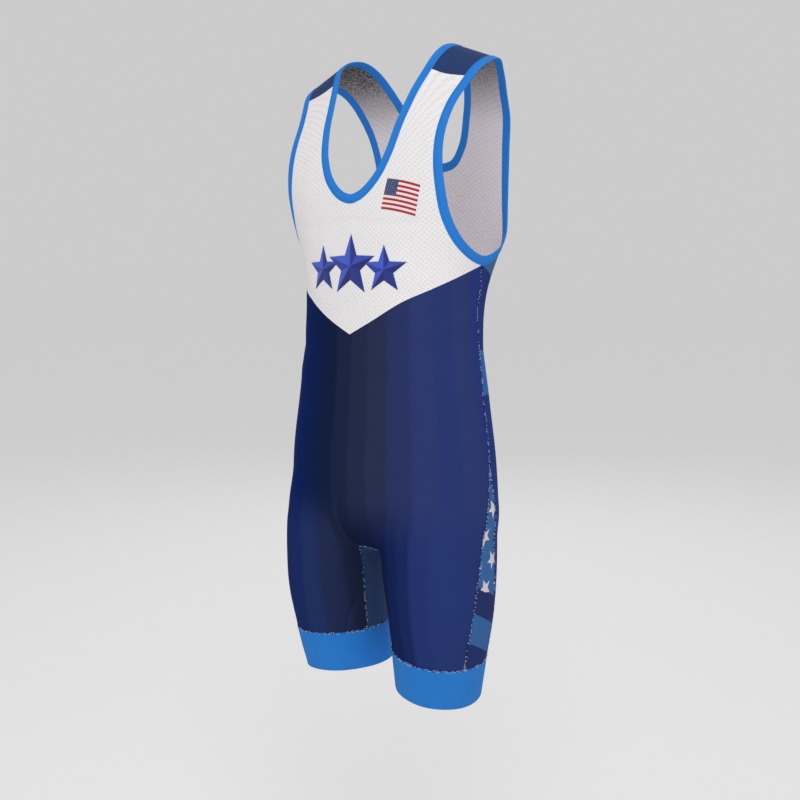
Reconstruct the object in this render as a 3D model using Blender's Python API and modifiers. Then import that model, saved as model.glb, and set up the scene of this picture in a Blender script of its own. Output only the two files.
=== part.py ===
"""Wrestling singlet, filled out as if worn, with nobody in it.

The cut pieces are stretch-knit walls that lie on one general figure: a torso of rounded sections
joined smoothly to two thigh tubes. The figure is only a function that says how far a point is
outside it. Each seam is a short table of places, drawn as a smooth curve and seated on the figure,
and each cut piece is a grid of points relaxed between its seams. So pieces that are sewn together
share the same seam points, and stand one seam gap apart.

Metres, +Z up. The front faces -Y, and the wearer's left is +X. The origin is the middle of the
shoulder line, where the straps hang.
"""

import bmesh
import bpy
import numpy as np

# Driving sizes
WALL = 0.0012
BINDING_WIDTH = 0.012
BINDING_THICK = 0.0024
BINDING_OFFSET = 0.5  # Solidify's offset: three quarters of the folded strip stand outside the figure
SEAM_GAP = 0.0003
LEG_BAND_SEAM_Z = -0.8215
HEM_Z = -0.8805
OUTER_DROP = 0.0065  # a leg's hem hangs this much lower on the outer side, and rises as much inside
SHOULDER_SLOPE = 0.42
SLOPE_STARTS_X = 0.087
SLOPE_ENDS_Z, SLOPE_FADE = -0.250, 0.220
NECK_SOFTNESS = 0.040
RIDGE_DEPTH = 0.0001
CROTCH_TURN_Z = -0.612  # the torso starts to close here
CROTCH_Z = -0.690
CROTCH_SQUARENESS = 2.4
THIGH_BLEND = 0.014
THIGH_FADES_Z, THIGH_FADE = -0.670, 2.2  # above this the thighs sink into the torso, by the square

# How many grid cells each stretch of a seam has
ACROSS = 10
ACROSS_SIDE = 4
ACROSS_GUSSET = 4
CHEST_CENTRE, CHEST_NECK = 8, 10
BACK_CENTRE, BACK_NECK = 9, 9
OVER_SHOULDER = 10
SIDE_UPPER, SIDE_LOWER = 11, 11
BODY_CENTRE, BODY_INSEAM = 14, 8
BAND_ROWS = 3
BINDING_ROWS = 2

# Torso sections: height z, half width, front y, back y, squareness of the outline
TORSO = np.array([
    (0.000, 0.2000, 0.020, 0.020, 3.30),
    (-0.006, 0.2000, -0.007, 0.038, 4.10),
    (-0.020, 0.2000, -0.023, 0.053, 5.60),
    (-0.045, 0.1970, -0.037, 0.069, 6.80),
    (-0.080, 0.1920, -0.055, 0.086, 6.80),
    (-0.120, 0.1860, -0.073, 0.095, 5.20),
    (-0.160, 0.1820, -0.085, 0.102, 3.70),
    (-0.200, 0.1760, -0.093, 0.107, 2.80),
    (-0.240, 0.1600, -0.095, 0.107, 2.60),
    (-0.280, 0.1440, -0.097, 0.102, 2.45),
    (-0.330, 0.1355, -0.098, 0.086, 2.35),
    (-0.390, 0.1385, -0.097, 0.073, 2.30),
    (-0.470, 0.1505, -0.101, 0.076, 2.25),
    (-0.560, 0.1635, -0.109, 0.083, 2.20),
    (-0.640, 0.1685, -0.107, 0.083, 2.20),
    (-0.720, 0.1700, -0.100, 0.078, 2.20),
])

# Thigh sections: height z, centre x, centre y, half width, half depth, how far the front leans outwards
THIGH = np.array([
    (-0.560, 0.0900, -0.0170, 0.0680, 0.0860, 0),
    (-0.640, 0.0905, -0.0180, 0.0740, 0.0865, 0),
    (-0.700, 0.0930, -0.0200, 0.0750, 0.0830, 0),
    (-0.760, 0.0963, -0.0203, 0.0700, 0.0775, 0.010),
    (-0.820, 0.0916, -0.0166, 0.0661, 0.0691, 0.050),
    (-0.850, 0.0887, -0.0137, 0.0634, 0.0666, 0.066),
    (-0.880, 0.0848, -0.0099, 0.0609, 0.0639, 0.083),
    (-0.920, 0.0805, -0.0079, 0.0589, 0.0619, 0.090),
])

# Seams of the wearer's left half, in millimetres: x, y, z. The right half mirrors them.
SIDE_TOP = (141, 4, -291)
WEDGE_TIP = (163, -5, -561)
NECK_FRONT = [
    (0, -93, -211), (14, -93, -208), (45, -90, -184), (61, -83, -154),
    (71, -70, -111), (79, -50, -70), (87, -33, -43),
]
NECK_SHOULDER = [(95, -13, -16), (94, 18, -6), (86, 45, -15), (77, 63, -35)]
NECK_BACK = [(60, 88, -80), (44, 98, -126), (24, 102, -149), (0, 103, -154)]
ARM_FRONT = [
    SIDE_TOP, (141, -20, -285), (136, -48, -265), (130, -69, -230), (128, -77, -198),
    (125, -77, -160), (124, -69, -125), (127, -51, -89), (138, -31, -57),
]
ARM_SHOULDER = [(147, -2, -31), (144, 18, -26), (134, 43, -33), (127, 59, -49)]
ARM_BACK = [
    (118, 84, -89), (110, 96, -138), (109, 98, -190), (116, 90, -230),
    (128, 68, -262), (137, 38, -282), SIDE_TOP,
]
CHEST_POINT = (0, -97, -383)
BACK_POINT = (0, 76, -378)
V_FRONT = [CHEST_POINT, (38, -95, -364), (81, -85, -339), (114, -64, -322), (136, -27, -303), SIDE_TOP]
V_BACK = [BACK_POINT, (38, 78, -360), (81, 74, -338), (113, 58, -320), (134, 32, -303), SIDE_TOP]
YOKE_FRONT = [NECK_FRONT[-1], (109, -34, -51), ARM_FRONT[-1]]
YOKE_BACK = [NECK_SHOULDER[-1], (101, 62, -43), ARM_SHOULDER[-1]]
CHEST_MIDDLE = [CHEST_POINT, (0, -97, -300), NECK_FRONT[0]]
BACK_MIDDLE = [BACK_POINT, (0, 100, -270), NECK_BACK[-1]]
CROTCH_FRONT = (0, -69, -677)
CROTCH_BACK = (0, 24, -687)
BODY_MIDDLE = [CHEST_POINT, (0, -101, -470), (0, -109, -560), (0, -103, -620), (0, -90, -653), CROTCH_FRONT]
SEAT_MIDDLE = [BACK_POINT, (0, 76, -470), (0, 83, -560), (0, 80, -630), (0, 58, -672), CROTCH_BACK]
SIDE_SEAM = [
    SIDE_TOP, (136, 9, -319), (135, 5, -340), (136, 3, -366), (138, 3, -399),
    (143, 2, -434), (149, -2, -467), (155, -2, -501), (159, -3, -530), WEDGE_TIP,
]
SIDE_FRONT = [
    WEDGE_TIP, (164, -11, -600), (165, -20, -645), (165, -32, -700), (160, -40, -752), (153, -42, -795),
]
SIDE_BACK = [WEDGE_TIP, (164, 3, -600), (165, 8, -645), (165, 12, -700), (160, 16, -752), (152, 16, -795)]
INSEAM_FRONT = [
    CROTCH_FRONT, (13, -65, -681), (21, -56, -689), (25, -48, -716), (28, -42, -748), (28, -38, -776)
]
INSEAM_BACK = [CROTCH_BACK, (14, 25, -688), (28, 27, -700), (32, 27, -735), (34, 22, -775)]

# Where four seams meet the leg band: degrees round the thigh, from its front towards the outside
AT_INSEAM_FRONT, AT_SIDE_FRONT, AT_SIDE_BACK, AT_INSEAM_BACK = -75, 67, 113, 242
BAND_TURNS = [
    np.linspace(AT_INSEAM_FRONT, AT_SIDE_FRONT, ACROSS + 1),
    np.linspace(AT_SIDE_FRONT, AT_SIDE_BACK, ACROSS_SIDE + 1),
    np.linspace(AT_SIDE_BACK, AT_INSEAM_BACK, ACROSS + 1),
    np.linspace(AT_INSEAM_BACK, AT_INSEAM_FRONT + 360, ACROSS_GUSSET + 1),
]

# Middles of the neck hole and of the left armhole, for the side that a binding lies on
NECK_CENTRE = np.array([0, 0, -0.02])
ARM_CENTRE = np.array([0.18, 0, -0.17])
TIP_SHARE = 0.1  # the side panel's point starts this share of a row below the seam's fork
MERGE = 1e-5  # points nearer than this are one point
MM = 1000
PROBE = 2e-4  # step for the gradient of the distance
FLATTEST = 0.04  # the gradient's square is never taken as less than this
LONGEST_MOVE = 0.012
NOTHING = 1e-12
FINE = 60  # points drawn for each place of a seam before it is cut in equal cells

NAVY = (0.020, 0.030, 0.110)
ROYAL = (0.020, 0.200, 0.640)
COLOURS = {
    "white_mesh": (0.80, 0.80, 0.80),
    "navy_knit": NAVY,
    "yoke_knit": (0.020, 0.040, 0.140),
    "steel_knit": (0.050, 0.130, 0.310),
    "inseam_knit": (0.022, 0.045, 0.150),
    "band_knit": (0.018, 0.180, 0.570),
    "binding_knit": ROYAL,
}
ROUGHNESS = 0.75


def smooth_rows(table, at):
    """Reads a table's other columns along a smooth curve through its rows, at values of its first column."""
    places, rows = table[:, 0], table[:, 1:]
    slopes = np.gradient(rows, places, axis=0)
    at = np.clip(at, places[0], places[-1])
    row = np.clip(np.searchsorted(places, at, side="right") - 1, 0, len(places) - 2)
    step = places[row + 1] - places[row]
    t = ((at - places[row]) / step)[..., None]
    step = step[..., None]
    return (
        rows[row] * (1 + 2 * t) * (1 - t) ** 2
        + slopes[row] * step * t * (1 - t) ** 2
        + rows[row + 1] * t * t * (3 - 2 * t)
        + slopes[row + 1] * step * t * t * (t - 1)
    )


def ease(t):
    t = np.clip(t, 0, 1)
    return t * t * (3 - 2 * t)


# The square root of the depth spaces the torso's rows, which rounds the ridge of the shoulders
TORSO_BY_ROOT = np.column_stack([np.sqrt(-TORSO[:, 0]), TORSO[:, 1:]])
THIGH_BY_DEPTH = np.column_stack([-THIGH[:, 0], THIGH[:, 1:]])


def outside_torso(points):
    """Distance outside the torso: superellipse sections, sloped at the shoulders and rounded off at the crotch.

    A section's own measure is 1 on the outline. Half of its square less 1, times the section's depth,
    is close to the distance there, and stays smooth over the ridge, where the sections shrink to a line.
    """
    x, y, z = np.abs(points[..., 0]), points[..., 1], points[..., 2]
    beyond_neck = np.hypot(x, NECK_SOFTNESS) - SLOPE_STARTS_X
    level = z + SHOULDER_SLOPE * ease((z - SLOPE_ENDS_Z) / SLOPE_FADE) * beyond_neck
    depth = np.maximum(-level, RIDGE_DEPTH)
    half_width, front, back, squareness = np.moveaxis(smooth_rows(TORSO_BY_ROOT, np.sqrt(depth)), -1, 0)
    half_depth = (back - front) / 2
    across = (x / half_width) ** squareness
    through = (np.abs(y - (front + back) / 2) / half_depth) ** squareness
    down = np.maximum((CROTCH_TURN_Z - z) / (CROTCH_TURN_Z - CROTCH_Z), 0) ** CROTCH_SQUARENESS
    measure = ((across + through) ** (CROTCH_SQUARENESS / squareness) + down) ** (1 / CROTCH_SQUARENESS)
    return np.minimum(depth, half_depth) * (measure**2 - 1) / 2 + level + depth


def outside_thigh(points):
    """Distance outside the nearer thigh: oval sections round a leaning line."""
    x, y, z = np.abs(points[..., 0]), points[..., 1], points[..., 2]
    centre_x, centre_y, half_width, half_depth, lean = np.moveaxis(smooth_rows(THIGH_BY_DEPTH, -z), -1, 0)
    ratio = np.hypot((x - centre_x + lean * (y - centre_y)) / half_width, (y - centre_y) / half_depth)
    sinking = THIGH_FADE * np.maximum(z - THIGH_FADES_Z, 0) ** 2
    return (ratio - 1) * np.minimum(half_width, half_depth) + sinking


def outside(points):
    """Distance outside the whole figure: torso and thighs joined with a soft hollow between them."""
    torso, thigh = outside_torso(points), outside_thigh(points)
    mix = np.clip(0.5 + 0.5 * (thigh - torso) / THIGH_BLEND, 0, 1)
    return thigh * (1 - mix) + torso * mix - THIGH_BLEND * mix * (1 - mix)


def uphill(points):
    """Gradient of the distance, by central differences."""
    moves = PROBE * np.eye(3)
    return np.stack([outside(points + m) - outside(points - m) for m in moves], -1) / (2 * PROBE)


def seated(points, turns=12):
    """The points, moved uphill or downhill until they lie on the figure."""
    points = np.array(points, float)
    for _ in range(turns):
        gradient = uphill(points)
        steepness = np.maximum((gradient**2).sum(-1), FLATTEST)
        move = -(outside(points) / steepness)[..., None] * gradient
        length = np.linalg.norm(move, axis=-1, keepdims=True)
        points += move * np.minimum(1, LONGEST_MOVE / np.maximum(length, NOTHING))
    return points


def unit(vectors):
    return vectors / np.maximum(np.linalg.norm(vectors, axis=-1, keepdims=True), NOTHING)


def along(points):
    """Distance along a line of points."""
    return np.concatenate([[0], np.cumsum(np.linalg.norm(np.diff(points, axis=0), axis=1))])


def seams(tables, counts, before=None, after=None):
    """One smooth curve through the tables' places, cut where each table ends and seated on the figure.

    Each stretch gets its own count of equal cells. Places before and after the curve only steer
    its two ends, so that it runs on smoothly into its mirror image or round its loop.
    """
    line = [place for table in tables for place in table]
    first = 0 if before is None else 1
    ends = first + np.cumsum([len(table) for table in tables]) - 1
    line = np.array([*([before] if before else []), *line, *([after] if after else [])]) / MM
    distance = along(line)
    fine_distance = np.linspace(0, distance[-1], FINE * len(line))
    fine = smooth_rows(np.column_stack([distance, line]), fine_distance)
    fine_at = along(fine)
    marks = np.interp(distance[[first, *ends]], fine_distance, fine_at)
    stretches = []
    for start, end, count in zip(marks, marks[1:], counts):
        at = np.linspace(start, end, count + 1)
        points = np.column_stack([np.interp(at, fine_at, fine[:, k]) for k in range(3)])
        stretches.append(seated(points))
    return stretches


def seam(table, count):
    return seams([table], [count])[0]


def ring(degrees, z):
    """Points round the left thigh at a height that drops on the outer side."""
    angle = np.radians(degrees)
    height = z - OUTER_DROP * np.sin(angle)
    centre_x, centre_y, half_width, half_depth, lean = smooth_rows(THIGH_BY_DEPTH, -height).T
    ahead = half_depth * np.cos(angle)
    x = centre_x + half_width * np.sin(angle) + lean * ahead
    return np.column_stack([x, centre_y - ahead, height])


def joined(*stretches):
    """Stretches that meet end to end, as one line."""
    return np.concatenate([stretches[0], *[stretch[1:] for stretch in stretches[1:]]])


def cloth(inner, outer, first, last, turns=90):
    """Grid of points on the figure between four edges, evened out by averaging each with its neighbours."""
    u = np.linspace(0, 1, len(inner))[:, None, None]
    v = np.linspace(0, 1, len(first))[None, :, None]
    corners = (
        inner[0] * (1 - u) * (1 - v) + outer[0] * (1 - u) * v + inner[-1] * u * (1 - v) + outer[-1] * u * v
    )
    grid = inner[:, None] * (1 - v) + outer[:, None] * v + first[None] * (1 - u) + last[None] * u - corners
    grid[1:-1, 1:-1] = seated(grid[1:-1, 1:-1])
    for _ in range(turns):
        middle = (grid[:-2, 1:-1] + grid[2:, 1:-1] + grid[1:-1, :-2] + grid[1:-1, 2:]) / 4
        grid[1:-1, 1:-1] = seated(middle, turns=2)
    grid[1:-1, 1:-1] = seated(grid[1:-1, 1:-1])
    return grid


def drawn_in(grid, sides, distance=SEAM_GAP / 2):
    """The grid with the named sides moved inwards by half a seam gap. The body's middle line stays put."""
    edge_and_next = {
        "inner": (np.s_[:, 0], np.s_[:, 1]),
        "outer": (np.s_[:, -1], np.s_[:, -2]),
        "first": (np.s_[0], np.s_[1]),
        "last": (np.s_[-1], np.s_[-2]),
    }
    moved = grid.copy()
    for side in sides:
        edge, inside = (grid[part] for part in edge_and_next[side])
        tangent = unit(np.gradient(edge, axis=0))
        inwards = inside - edge
        inwards = unit(inwards - tangent * (inwards * tangent).sum(1, keepdims=True))
        moved[edge_and_next[side][0]] += distance * inwards
    on_middle = np.abs(grid[..., 0]) < MERGE
    moved[on_middle, 0] = 0
    return moved


def mirrored(points):
    return points * np.array([-1, 1, 1])


def binding(loop, hole_centre):
    """A strip from a closed seam into the hole that it edges, as rows of a closed grid."""
    tangent = np.roll(loop, -1, axis=0) - np.roll(loop, 1, axis=0)
    across = unit(np.cross(tangent, uphill(loop)))
    across *= np.sign((across * (hole_centre - loop)).sum(1, keepdims=True))
    widths = np.linspace(SEAM_GAP / 2, BINDING_WIDTH, BINDING_ROWS + 1)
    return np.stack([seated(loop + width * across) for width in widths])


def pinned(line, start, end):
    """The line with its ends set on the corners that it shares with other seams."""
    return np.concatenate([[start], line[1:-1], [end]])


def middle(table, count, start, end):
    """A seam down the middle of the body."""
    line = pinned(seam(table, count), start, end)
    line[:, 0] = 0
    return line


def pattern():
    """Every cut piece as a grid of points: seams first, then the cloth between them.

    A piece over the middle of the body is its left half only, and one of a pair is the left one.
    """
    neck_front, neck_shoulder, neck_back = seams(
        [NECK_FRONT, NECK_SHOULDER, NECK_BACK],
        [CHEST_NECK, OVER_SHOULDER, BACK_NECK],
        before=(-NECK_FRONT[1][0], *NECK_FRONT[1][1:]),
        after=(-NECK_BACK[-2][0], *NECK_BACK[-2][1:]),
    )
    neck_front[0, 0] = neck_back[-1, 0] = 0
    arm_front, arm_shoulder, arm_back = seams(
        [ARM_FRONT, ARM_SHOULDER, ARM_BACK],
        [CHEST_CENTRE + CHEST_NECK, OVER_SHOULDER, BACK_CENTRE + BACK_NECK],
        before=ARM_BACK[-2],
        after=ARM_FRONT[1],
    )
    side_top = arm_back[-1] = arm_front[0]
    corners = seated(np.array([CHEST_POINT, BACK_POINT, CROTCH_FRONT, CROTCH_BACK, WEDGE_TIP]) / MM)
    chest_point, back_point, crotch_front, crotch_back, wedge_tip = corners
    yoke_front = pinned(seam(YOKE_FRONT, ACROSS), neck_front[-1], arm_front[-1])
    yoke_back = pinned(seam(YOKE_BACK, ACROSS), neck_shoulder[-1], arm_shoulder[-1])
    v_front = pinned(seam(V_FRONT, ACROSS), chest_point, side_top)
    v_back = pinned(seam(V_BACK, ACROSS), back_point, side_top)

    band_front, band_side, band_back, band_inner = (ring(turn, LEG_BAND_SEAM_Z) for turn in BAND_TURNS)
    side_seam = pinned(seam(SIDE_SEAM, SIDE_UPPER), side_top, wedge_tip)
    side_front = pinned(seam([*SIDE_FRONT, MM * band_front[-1]], SIDE_LOWER), wedge_tip, band_front[-1])
    side_back = pinned(seam([*SIDE_BACK, MM * band_back[0]], SIDE_LOWER), wedge_tip, band_back[0])
    inseam_front = pinned(seam([*INSEAM_FRONT, MM * band_front[0]], BODY_INSEAM), crotch_front, band_front[0])
    inseam_back = pinned(seam([*INSEAM_BACK, MM * band_back[-1]], BODY_INSEAM), crotch_back, band_back[-1])

    chest_middle = middle(CHEST_MIDDLE, CHEST_CENTRE, chest_point, neck_front[0])
    back_middle = middle(BACK_MIDDLE, BACK_CENTRE, back_point, neck_back[-1])
    body_middle = middle(BODY_MIDDLE, BODY_CENTRE, chest_point, crotch_front)
    seat_middle = middle(SEAT_MIDDLE, BODY_CENTRE, back_point, crotch_back)
    crotch_middle = middle([CROTCH_FRONT, CROTCH_BACK], ACROSS_GUSSET, crotch_front, crotch_back)

    all_round = ("inner", "outer", "first", "last")
    not_first = ("inner", "outer", "last")
    chest = cloth(joined(chest_middle, neck_front), arm_front, v_front, yoke_front)
    upper_back = cloth(joined(back_middle, neck_back[::-1]), arm_back[::-1], v_back, yoke_back)
    body = cloth(joined(body_middle, inseam_front), joined(side_seam, side_front), v_front, band_front)
    seat = cloth(joined(seat_middle, inseam_back), joined(side_seam, side_back), v_back, band_back[::-1])
    gusset = cloth(inseam_front, inseam_back, crotch_middle, band_inner[::-1])
    patch = cloth(neck_shoulder, arm_shoulder, yoke_front, yoke_back)
    wedge = cloth(side_front, side_back, np.repeat(wedge_tip[None], ACROSS_SIDE + 1, axis=0), band_side)
    wedge = drawn_in(wedge, not_first)
    wedge[0] = wedge_tip + TIP_SHARE * (wedge[1].mean(0) - wedge_tip)

    turns = joined(*(turn[:, None] for turn in BAND_TURNS))[:-1, 0]
    heights = np.linspace(LEG_BAND_SEAM_Z - SEAM_GAP / 2, HEM_Z, BAND_ROWS + 1)
    half_neck = joined(neck_front, neck_shoulder, neck_back)
    return dict(
        front_chest=drawn_in(chest, all_round),
        back_upper=drawn_in(upper_back, all_round),
        front_body=drawn_in(body, all_round),
        back_lower=drawn_in(seat, all_round),
        inseam_gusset=drawn_in(gusset, not_first),
        shoulder_patch=drawn_in(patch, all_round),
        side_panel=wedge,
        leg_band=np.stack([ring(turns, z) for z in heights]),
        neck_binding=binding(np.concatenate([half_neck, mirrored(half_neck)[-2:0:-1]]), NECK_CENTRE),
        armhole_binding=binding(joined(arm_front, arm_shoulder, arm_back)[:-1], ARM_CENTRE),
    )


def material(name):
    made = bpy.data.materials.get(name) or bpy.data.materials.new(name)
    made.use_nodes = True
    shader = made.node_tree.nodes["Principled BSDF"]
    shader.inputs["Base Color"].default_value = (*COLOURS[name], 1)
    shader.inputs["Roughness"].default_value = ROUGHNESS
    return made


def piece(name, grid, colour, closed=False, mirror=False, thick=WALL, outwards=1.0):
    """A grid of points as a named cloth wall. A closed grid's last column meets its first."""
    rows, columns = grid.shape[:2]
    index = np.arange(rows * columns).reshape(rows, columns)
    if closed:
        index = np.column_stack([index, index[:, 0]])
    corners = (index[:-1, :-1], index[:-1, 1:], index[1:, 1:], index[1:, :-1])
    mesh = bpy.data.meshes.new(name)
    mesh.from_pydata(grid.reshape(-1, 3).tolist(), [], np.stack(corners, -1).reshape(-1, 4).tolist())
    shape = bmesh.new()
    shape.from_mesh(mesh)
    bmesh.ops.remove_doubles(shape, verts=shape.verts, dist=MERGE)
    shape.faces.ensure_lookup_table()
    shape.normal_update()
    face = shape.faces[len(shape.faces) // 2]
    if uphill(np.array(face.calc_center_median())) @ np.array(face.normal) < 0:
        bmesh.ops.reverse_faces(shape, faces=shape.faces)
    shape.to_mesh(mesh)
    shape.free()
    mesh.shade_smooth()
    mesh.materials.append(material(colour))
    made = bpy.data.objects.new(name, mesh)
    GARMENT.objects.link(made)
    if mirror:
        halves = made.modifiers.new("Both halves", "MIRROR")
        halves.merge_threshold = MERGE
    wall = made.modifiers.new("Wall", "SOLIDIFY")
    wall.thickness = thick
    wall.offset = outwards
    return made


def on_both_sides(name, grid, colour, **details):
    piece(f"{name}_left", grid, colour, **details)
    piece(f"{name}_right", mirrored(grid), colour, **details)


for leftover in list(bpy.data.objects):
    bpy.data.objects.remove(leftover)
GARMENT = bpy.data.collections.new("Wrestling singlet")
bpy.context.scene.collection.children.link(GARMENT)

grids = pattern()
piece("front_chest", grids["front_chest"], "white_mesh", mirror=True)
piece("back_upper", grids["back_upper"], "steel_knit", mirror=True)
piece("front_body", grids["front_body"], "navy_knit", mirror=True)
piece("back_lower", grids["back_lower"], "navy_knit", mirror=True)
piece("inseam_gusset", grids["inseam_gusset"], "inseam_knit", mirror=True)
on_both_sides("shoulder_patch", grids["shoulder_patch"], "yoke_knit")
on_both_sides("side_panel", grids["side_panel"], "steel_knit")
on_both_sides("leg_band", grids["leg_band"], "band_knit", closed=True)
edging = dict(closed=True, thick=BINDING_THICK, outwards=BINDING_OFFSET)
piece("neck_binding", grids["neck_binding"], "binding_knit", **edging)
on_both_sides("armhole_binding", grids["armhole_binding"], "binding_knit", **edging)
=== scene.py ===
# %% [markdown]
# # A wrestling singlet, dressed
#
# A wrestling singlet is a one-piece suit of stretch knit: a chest and a back of open mesh, a body of
# dense polyester and elastane, wide leg bands that grip the thigh, and a folded binding round the neck
# and the armholes. The solids of the part give its form. This script gives each solid its cloth.
#
# Everything is in metres, with +Z up. The front faces -Y, the wearer's left is +X, and the origin is
# the middle of the shoulder line.

import bmesh
import bpy
import numpy as np
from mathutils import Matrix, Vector


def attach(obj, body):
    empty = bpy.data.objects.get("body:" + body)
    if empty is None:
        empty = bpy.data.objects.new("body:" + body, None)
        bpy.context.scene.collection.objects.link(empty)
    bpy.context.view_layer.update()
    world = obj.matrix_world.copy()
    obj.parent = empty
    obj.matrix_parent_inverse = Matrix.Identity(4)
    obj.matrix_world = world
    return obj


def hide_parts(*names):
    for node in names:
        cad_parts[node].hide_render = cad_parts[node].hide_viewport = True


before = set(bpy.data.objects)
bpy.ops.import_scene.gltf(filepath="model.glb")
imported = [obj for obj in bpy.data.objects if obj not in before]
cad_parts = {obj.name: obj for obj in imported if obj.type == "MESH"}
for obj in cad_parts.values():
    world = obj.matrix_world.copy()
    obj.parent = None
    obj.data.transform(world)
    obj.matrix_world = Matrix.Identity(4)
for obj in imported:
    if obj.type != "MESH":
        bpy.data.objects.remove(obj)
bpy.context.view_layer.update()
print("Solids:", ", ".join(sorted(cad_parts)))

# %% [markdown]
# ## The camera
#
# The view is solved from the picture: 40 degrees to the wearer's left of straight ahead, a little above
# the waist, from about 1.4 m, through a lens with a 45 degree field. A camera only sets what is seen, so
# it comes first, and every later cell can be judged through it.

# %% Camera
VIEW_FROM, VIEW_UP = np.radians(40), np.radians(7.1)
VIEW_DISTANCE = 1.377
LOOKED_AT = Vector((0, 0.0066, -0.4812))
FOCAL_PIXELS, FRAME_PIXELS = 963, 800

camera_data = bpy.data.cameras.new("camera")
camera_data.sensor_fit = "HORIZONTAL"
camera_data.lens = FOCAL_PIXELS / FRAME_PIXELS * camera_data.sensor_width
camera = bpy.data.objects.new("camera", camera_data)
towards = Vector((
    np.sin(VIEW_FROM) * np.cos(VIEW_UP),
    -np.cos(VIEW_FROM) * np.cos(VIEW_UP),
    np.sin(VIEW_UP),
))
camera.location = LOOKED_AT + VIEW_DISTANCE * towards
camera.rotation_euler = (-towards).to_track_quat("-Z", "Y").to_euler()
bpy.context.scene.collection.objects.link(camera)
bpy.context.scene.camera = camera

# %% [markdown]
# ## The figure under the cloth
#
# Stretch knit takes the form of what fills it. So the form is one function that says how far a point is
# outside a plain figure: rounded sections for the torso, joined softly to two tubes for the thighs. The
# sizes are those of the part's solids, which keeps the cloth on them.

# %% Sizes of the figure and of the seams
WALL = 0.0012
LEG_BAND_SEAM_Z = -0.8215
HEM_Z = -0.8805
OUTER_DROP = 0.0065  # a leg's hem hangs this much lower on the outer side, and rises as much inside
SHOULDER_SLOPE = 0.42
SLOPE_STARTS_X = 0.087
SLOPE_ENDS_Z, SLOPE_FADE = -0.250, 0.220
NECK_SOFTNESS = 0.040
RIDGE_DEPTH = 0.0001
CROTCH_TURN_Z = -0.612  # the torso starts to close here
CROTCH_Z = -0.690
CROTCH_SQUARENESS = 2.4
THIGH_BLEND = 0.014
THIGH_FADES_Z, THIGH_FADE = -0.670, 2.2  # above this the thighs sink into the torso, by the square

# How many coarse cells each stretch of a seam has, and how many fine cells stand in one coarse cell
ACROSS = 10
ACROSS_SIDE = 4
ACROSS_GUSSET = 4
CHEST_CENTRE, CHEST_NECK = 8, 10
BACK_CENTRE, BACK_NECK = 9, 9
OVER_SHOULDER = 10
SIDE_UPPER, SIDE_LOWER = 11, 11
BODY_CENTRE, BODY_INSEAM = 14, 8
FINER = 8

# Torso sections: height z, half width, front y, back y, squareness of the outline
TORSO = np.array([
    (0.000, 0.2000, 0.020, 0.020, 3.30),
    (-0.006, 0.2000, -0.007, 0.038, 4.10),
    (-0.020, 0.2000, -0.023, 0.053, 5.60),
    (-0.045, 0.1970, -0.037, 0.069, 6.80),
    (-0.080, 0.1920, -0.055, 0.086, 6.80),
    (-0.120, 0.1860, -0.073, 0.095, 5.20),
    (-0.160, 0.1820, -0.085, 0.102, 3.70),
    (-0.200, 0.1760, -0.093, 0.107, 2.80),
    (-0.240, 0.1600, -0.095, 0.107, 2.60),
    (-0.280, 0.1440, -0.097, 0.102, 2.45),
    (-0.330, 0.1355, -0.098, 0.086, 2.35),
    (-0.390, 0.1385, -0.097, 0.073, 2.30),
    (-0.470, 0.1505, -0.101, 0.076, 2.25),
    (-0.560, 0.1635, -0.109, 0.083, 2.20),
    (-0.640, 0.1685, -0.107, 0.083, 2.20),
    (-0.720, 0.1700, -0.100, 0.078, 2.20),
])

# Thigh sections: height z, centre x, centre y, half width, half depth, how far the front leans outwards
THIGH = np.array([
    (-0.560, 0.0900, -0.0170, 0.0680, 0.0860, 0),
    (-0.640, 0.0905, -0.0180, 0.0740, 0.0865, 0),
    (-0.700, 0.0930, -0.0200, 0.0750, 0.0830, 0),
    (-0.760, 0.0963, -0.0203, 0.0700, 0.0775, 0.010),
    (-0.820, 0.0916, -0.0166, 0.0661, 0.0691, 0.050),
    (-0.850, 0.0887, -0.0137, 0.0634, 0.0666, 0.066),
    (-0.880, 0.0848, -0.0099, 0.0609, 0.0639, 0.083),
    (-0.920, 0.0805, -0.0079, 0.0589, 0.0619, 0.090),
])

# Seams of the wearer's left half, in millimetres: x, y, z. The right half mirrors them.
SIDE_TOP = (141, 4, -291)
WEDGE_TIP = (163, -5, -561)
NECK_FRONT = [
    (0, -93, -211), (14, -93, -208), (45, -90, -184), (61, -83, -154),
    (71, -70, -111), (79, -50, -70), (87, -33, -43),
]
NECK_SHOULDER = [(95, -13, -16), (94, 18, -6), (86, 45, -15), (77, 63, -35)]
NECK_BACK = [(60, 88, -80), (44, 98, -126), (24, 102, -149), (0, 103, -154)]
ARM_FRONT = [
    SIDE_TOP, (141, -20, -285), (136, -48, -265), (130, -69, -230), (128, -77, -198),
    (125, -77, -160), (124, -69, -125), (127, -51, -89), (138, -31, -57),
]
ARM_SHOULDER = [(147, -2, -31), (144, 18, -26), (134, 43, -33), (127, 59, -49)]
ARM_BACK = [
    (118, 84, -89), (110, 96, -138), (109, 98, -190), (116, 90, -230),
    (128, 68, -262), (137, 38, -282), SIDE_TOP,
]
CHEST_POINT = (0, -97, -383)
BACK_POINT = (0, 76, -378)
V_FRONT = [CHEST_POINT, (38, -95, -364), (81, -85, -339), (114, -64, -322), (136, -27, -303), SIDE_TOP]
V_BACK = [BACK_POINT, (38, 78, -360), (81, 74, -338), (113, 58, -320), (134, 32, -303), SIDE_TOP]
YOKE_FRONT = [NECK_FRONT[-1], (109, -34, -51), ARM_FRONT[-1]]
YOKE_BACK = [NECK_SHOULDER[-1], (101, 62, -43), ARM_SHOULDER[-1]]
CHEST_MIDDLE = [CHEST_POINT, (0, -97, -300), NECK_FRONT[0]]
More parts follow.
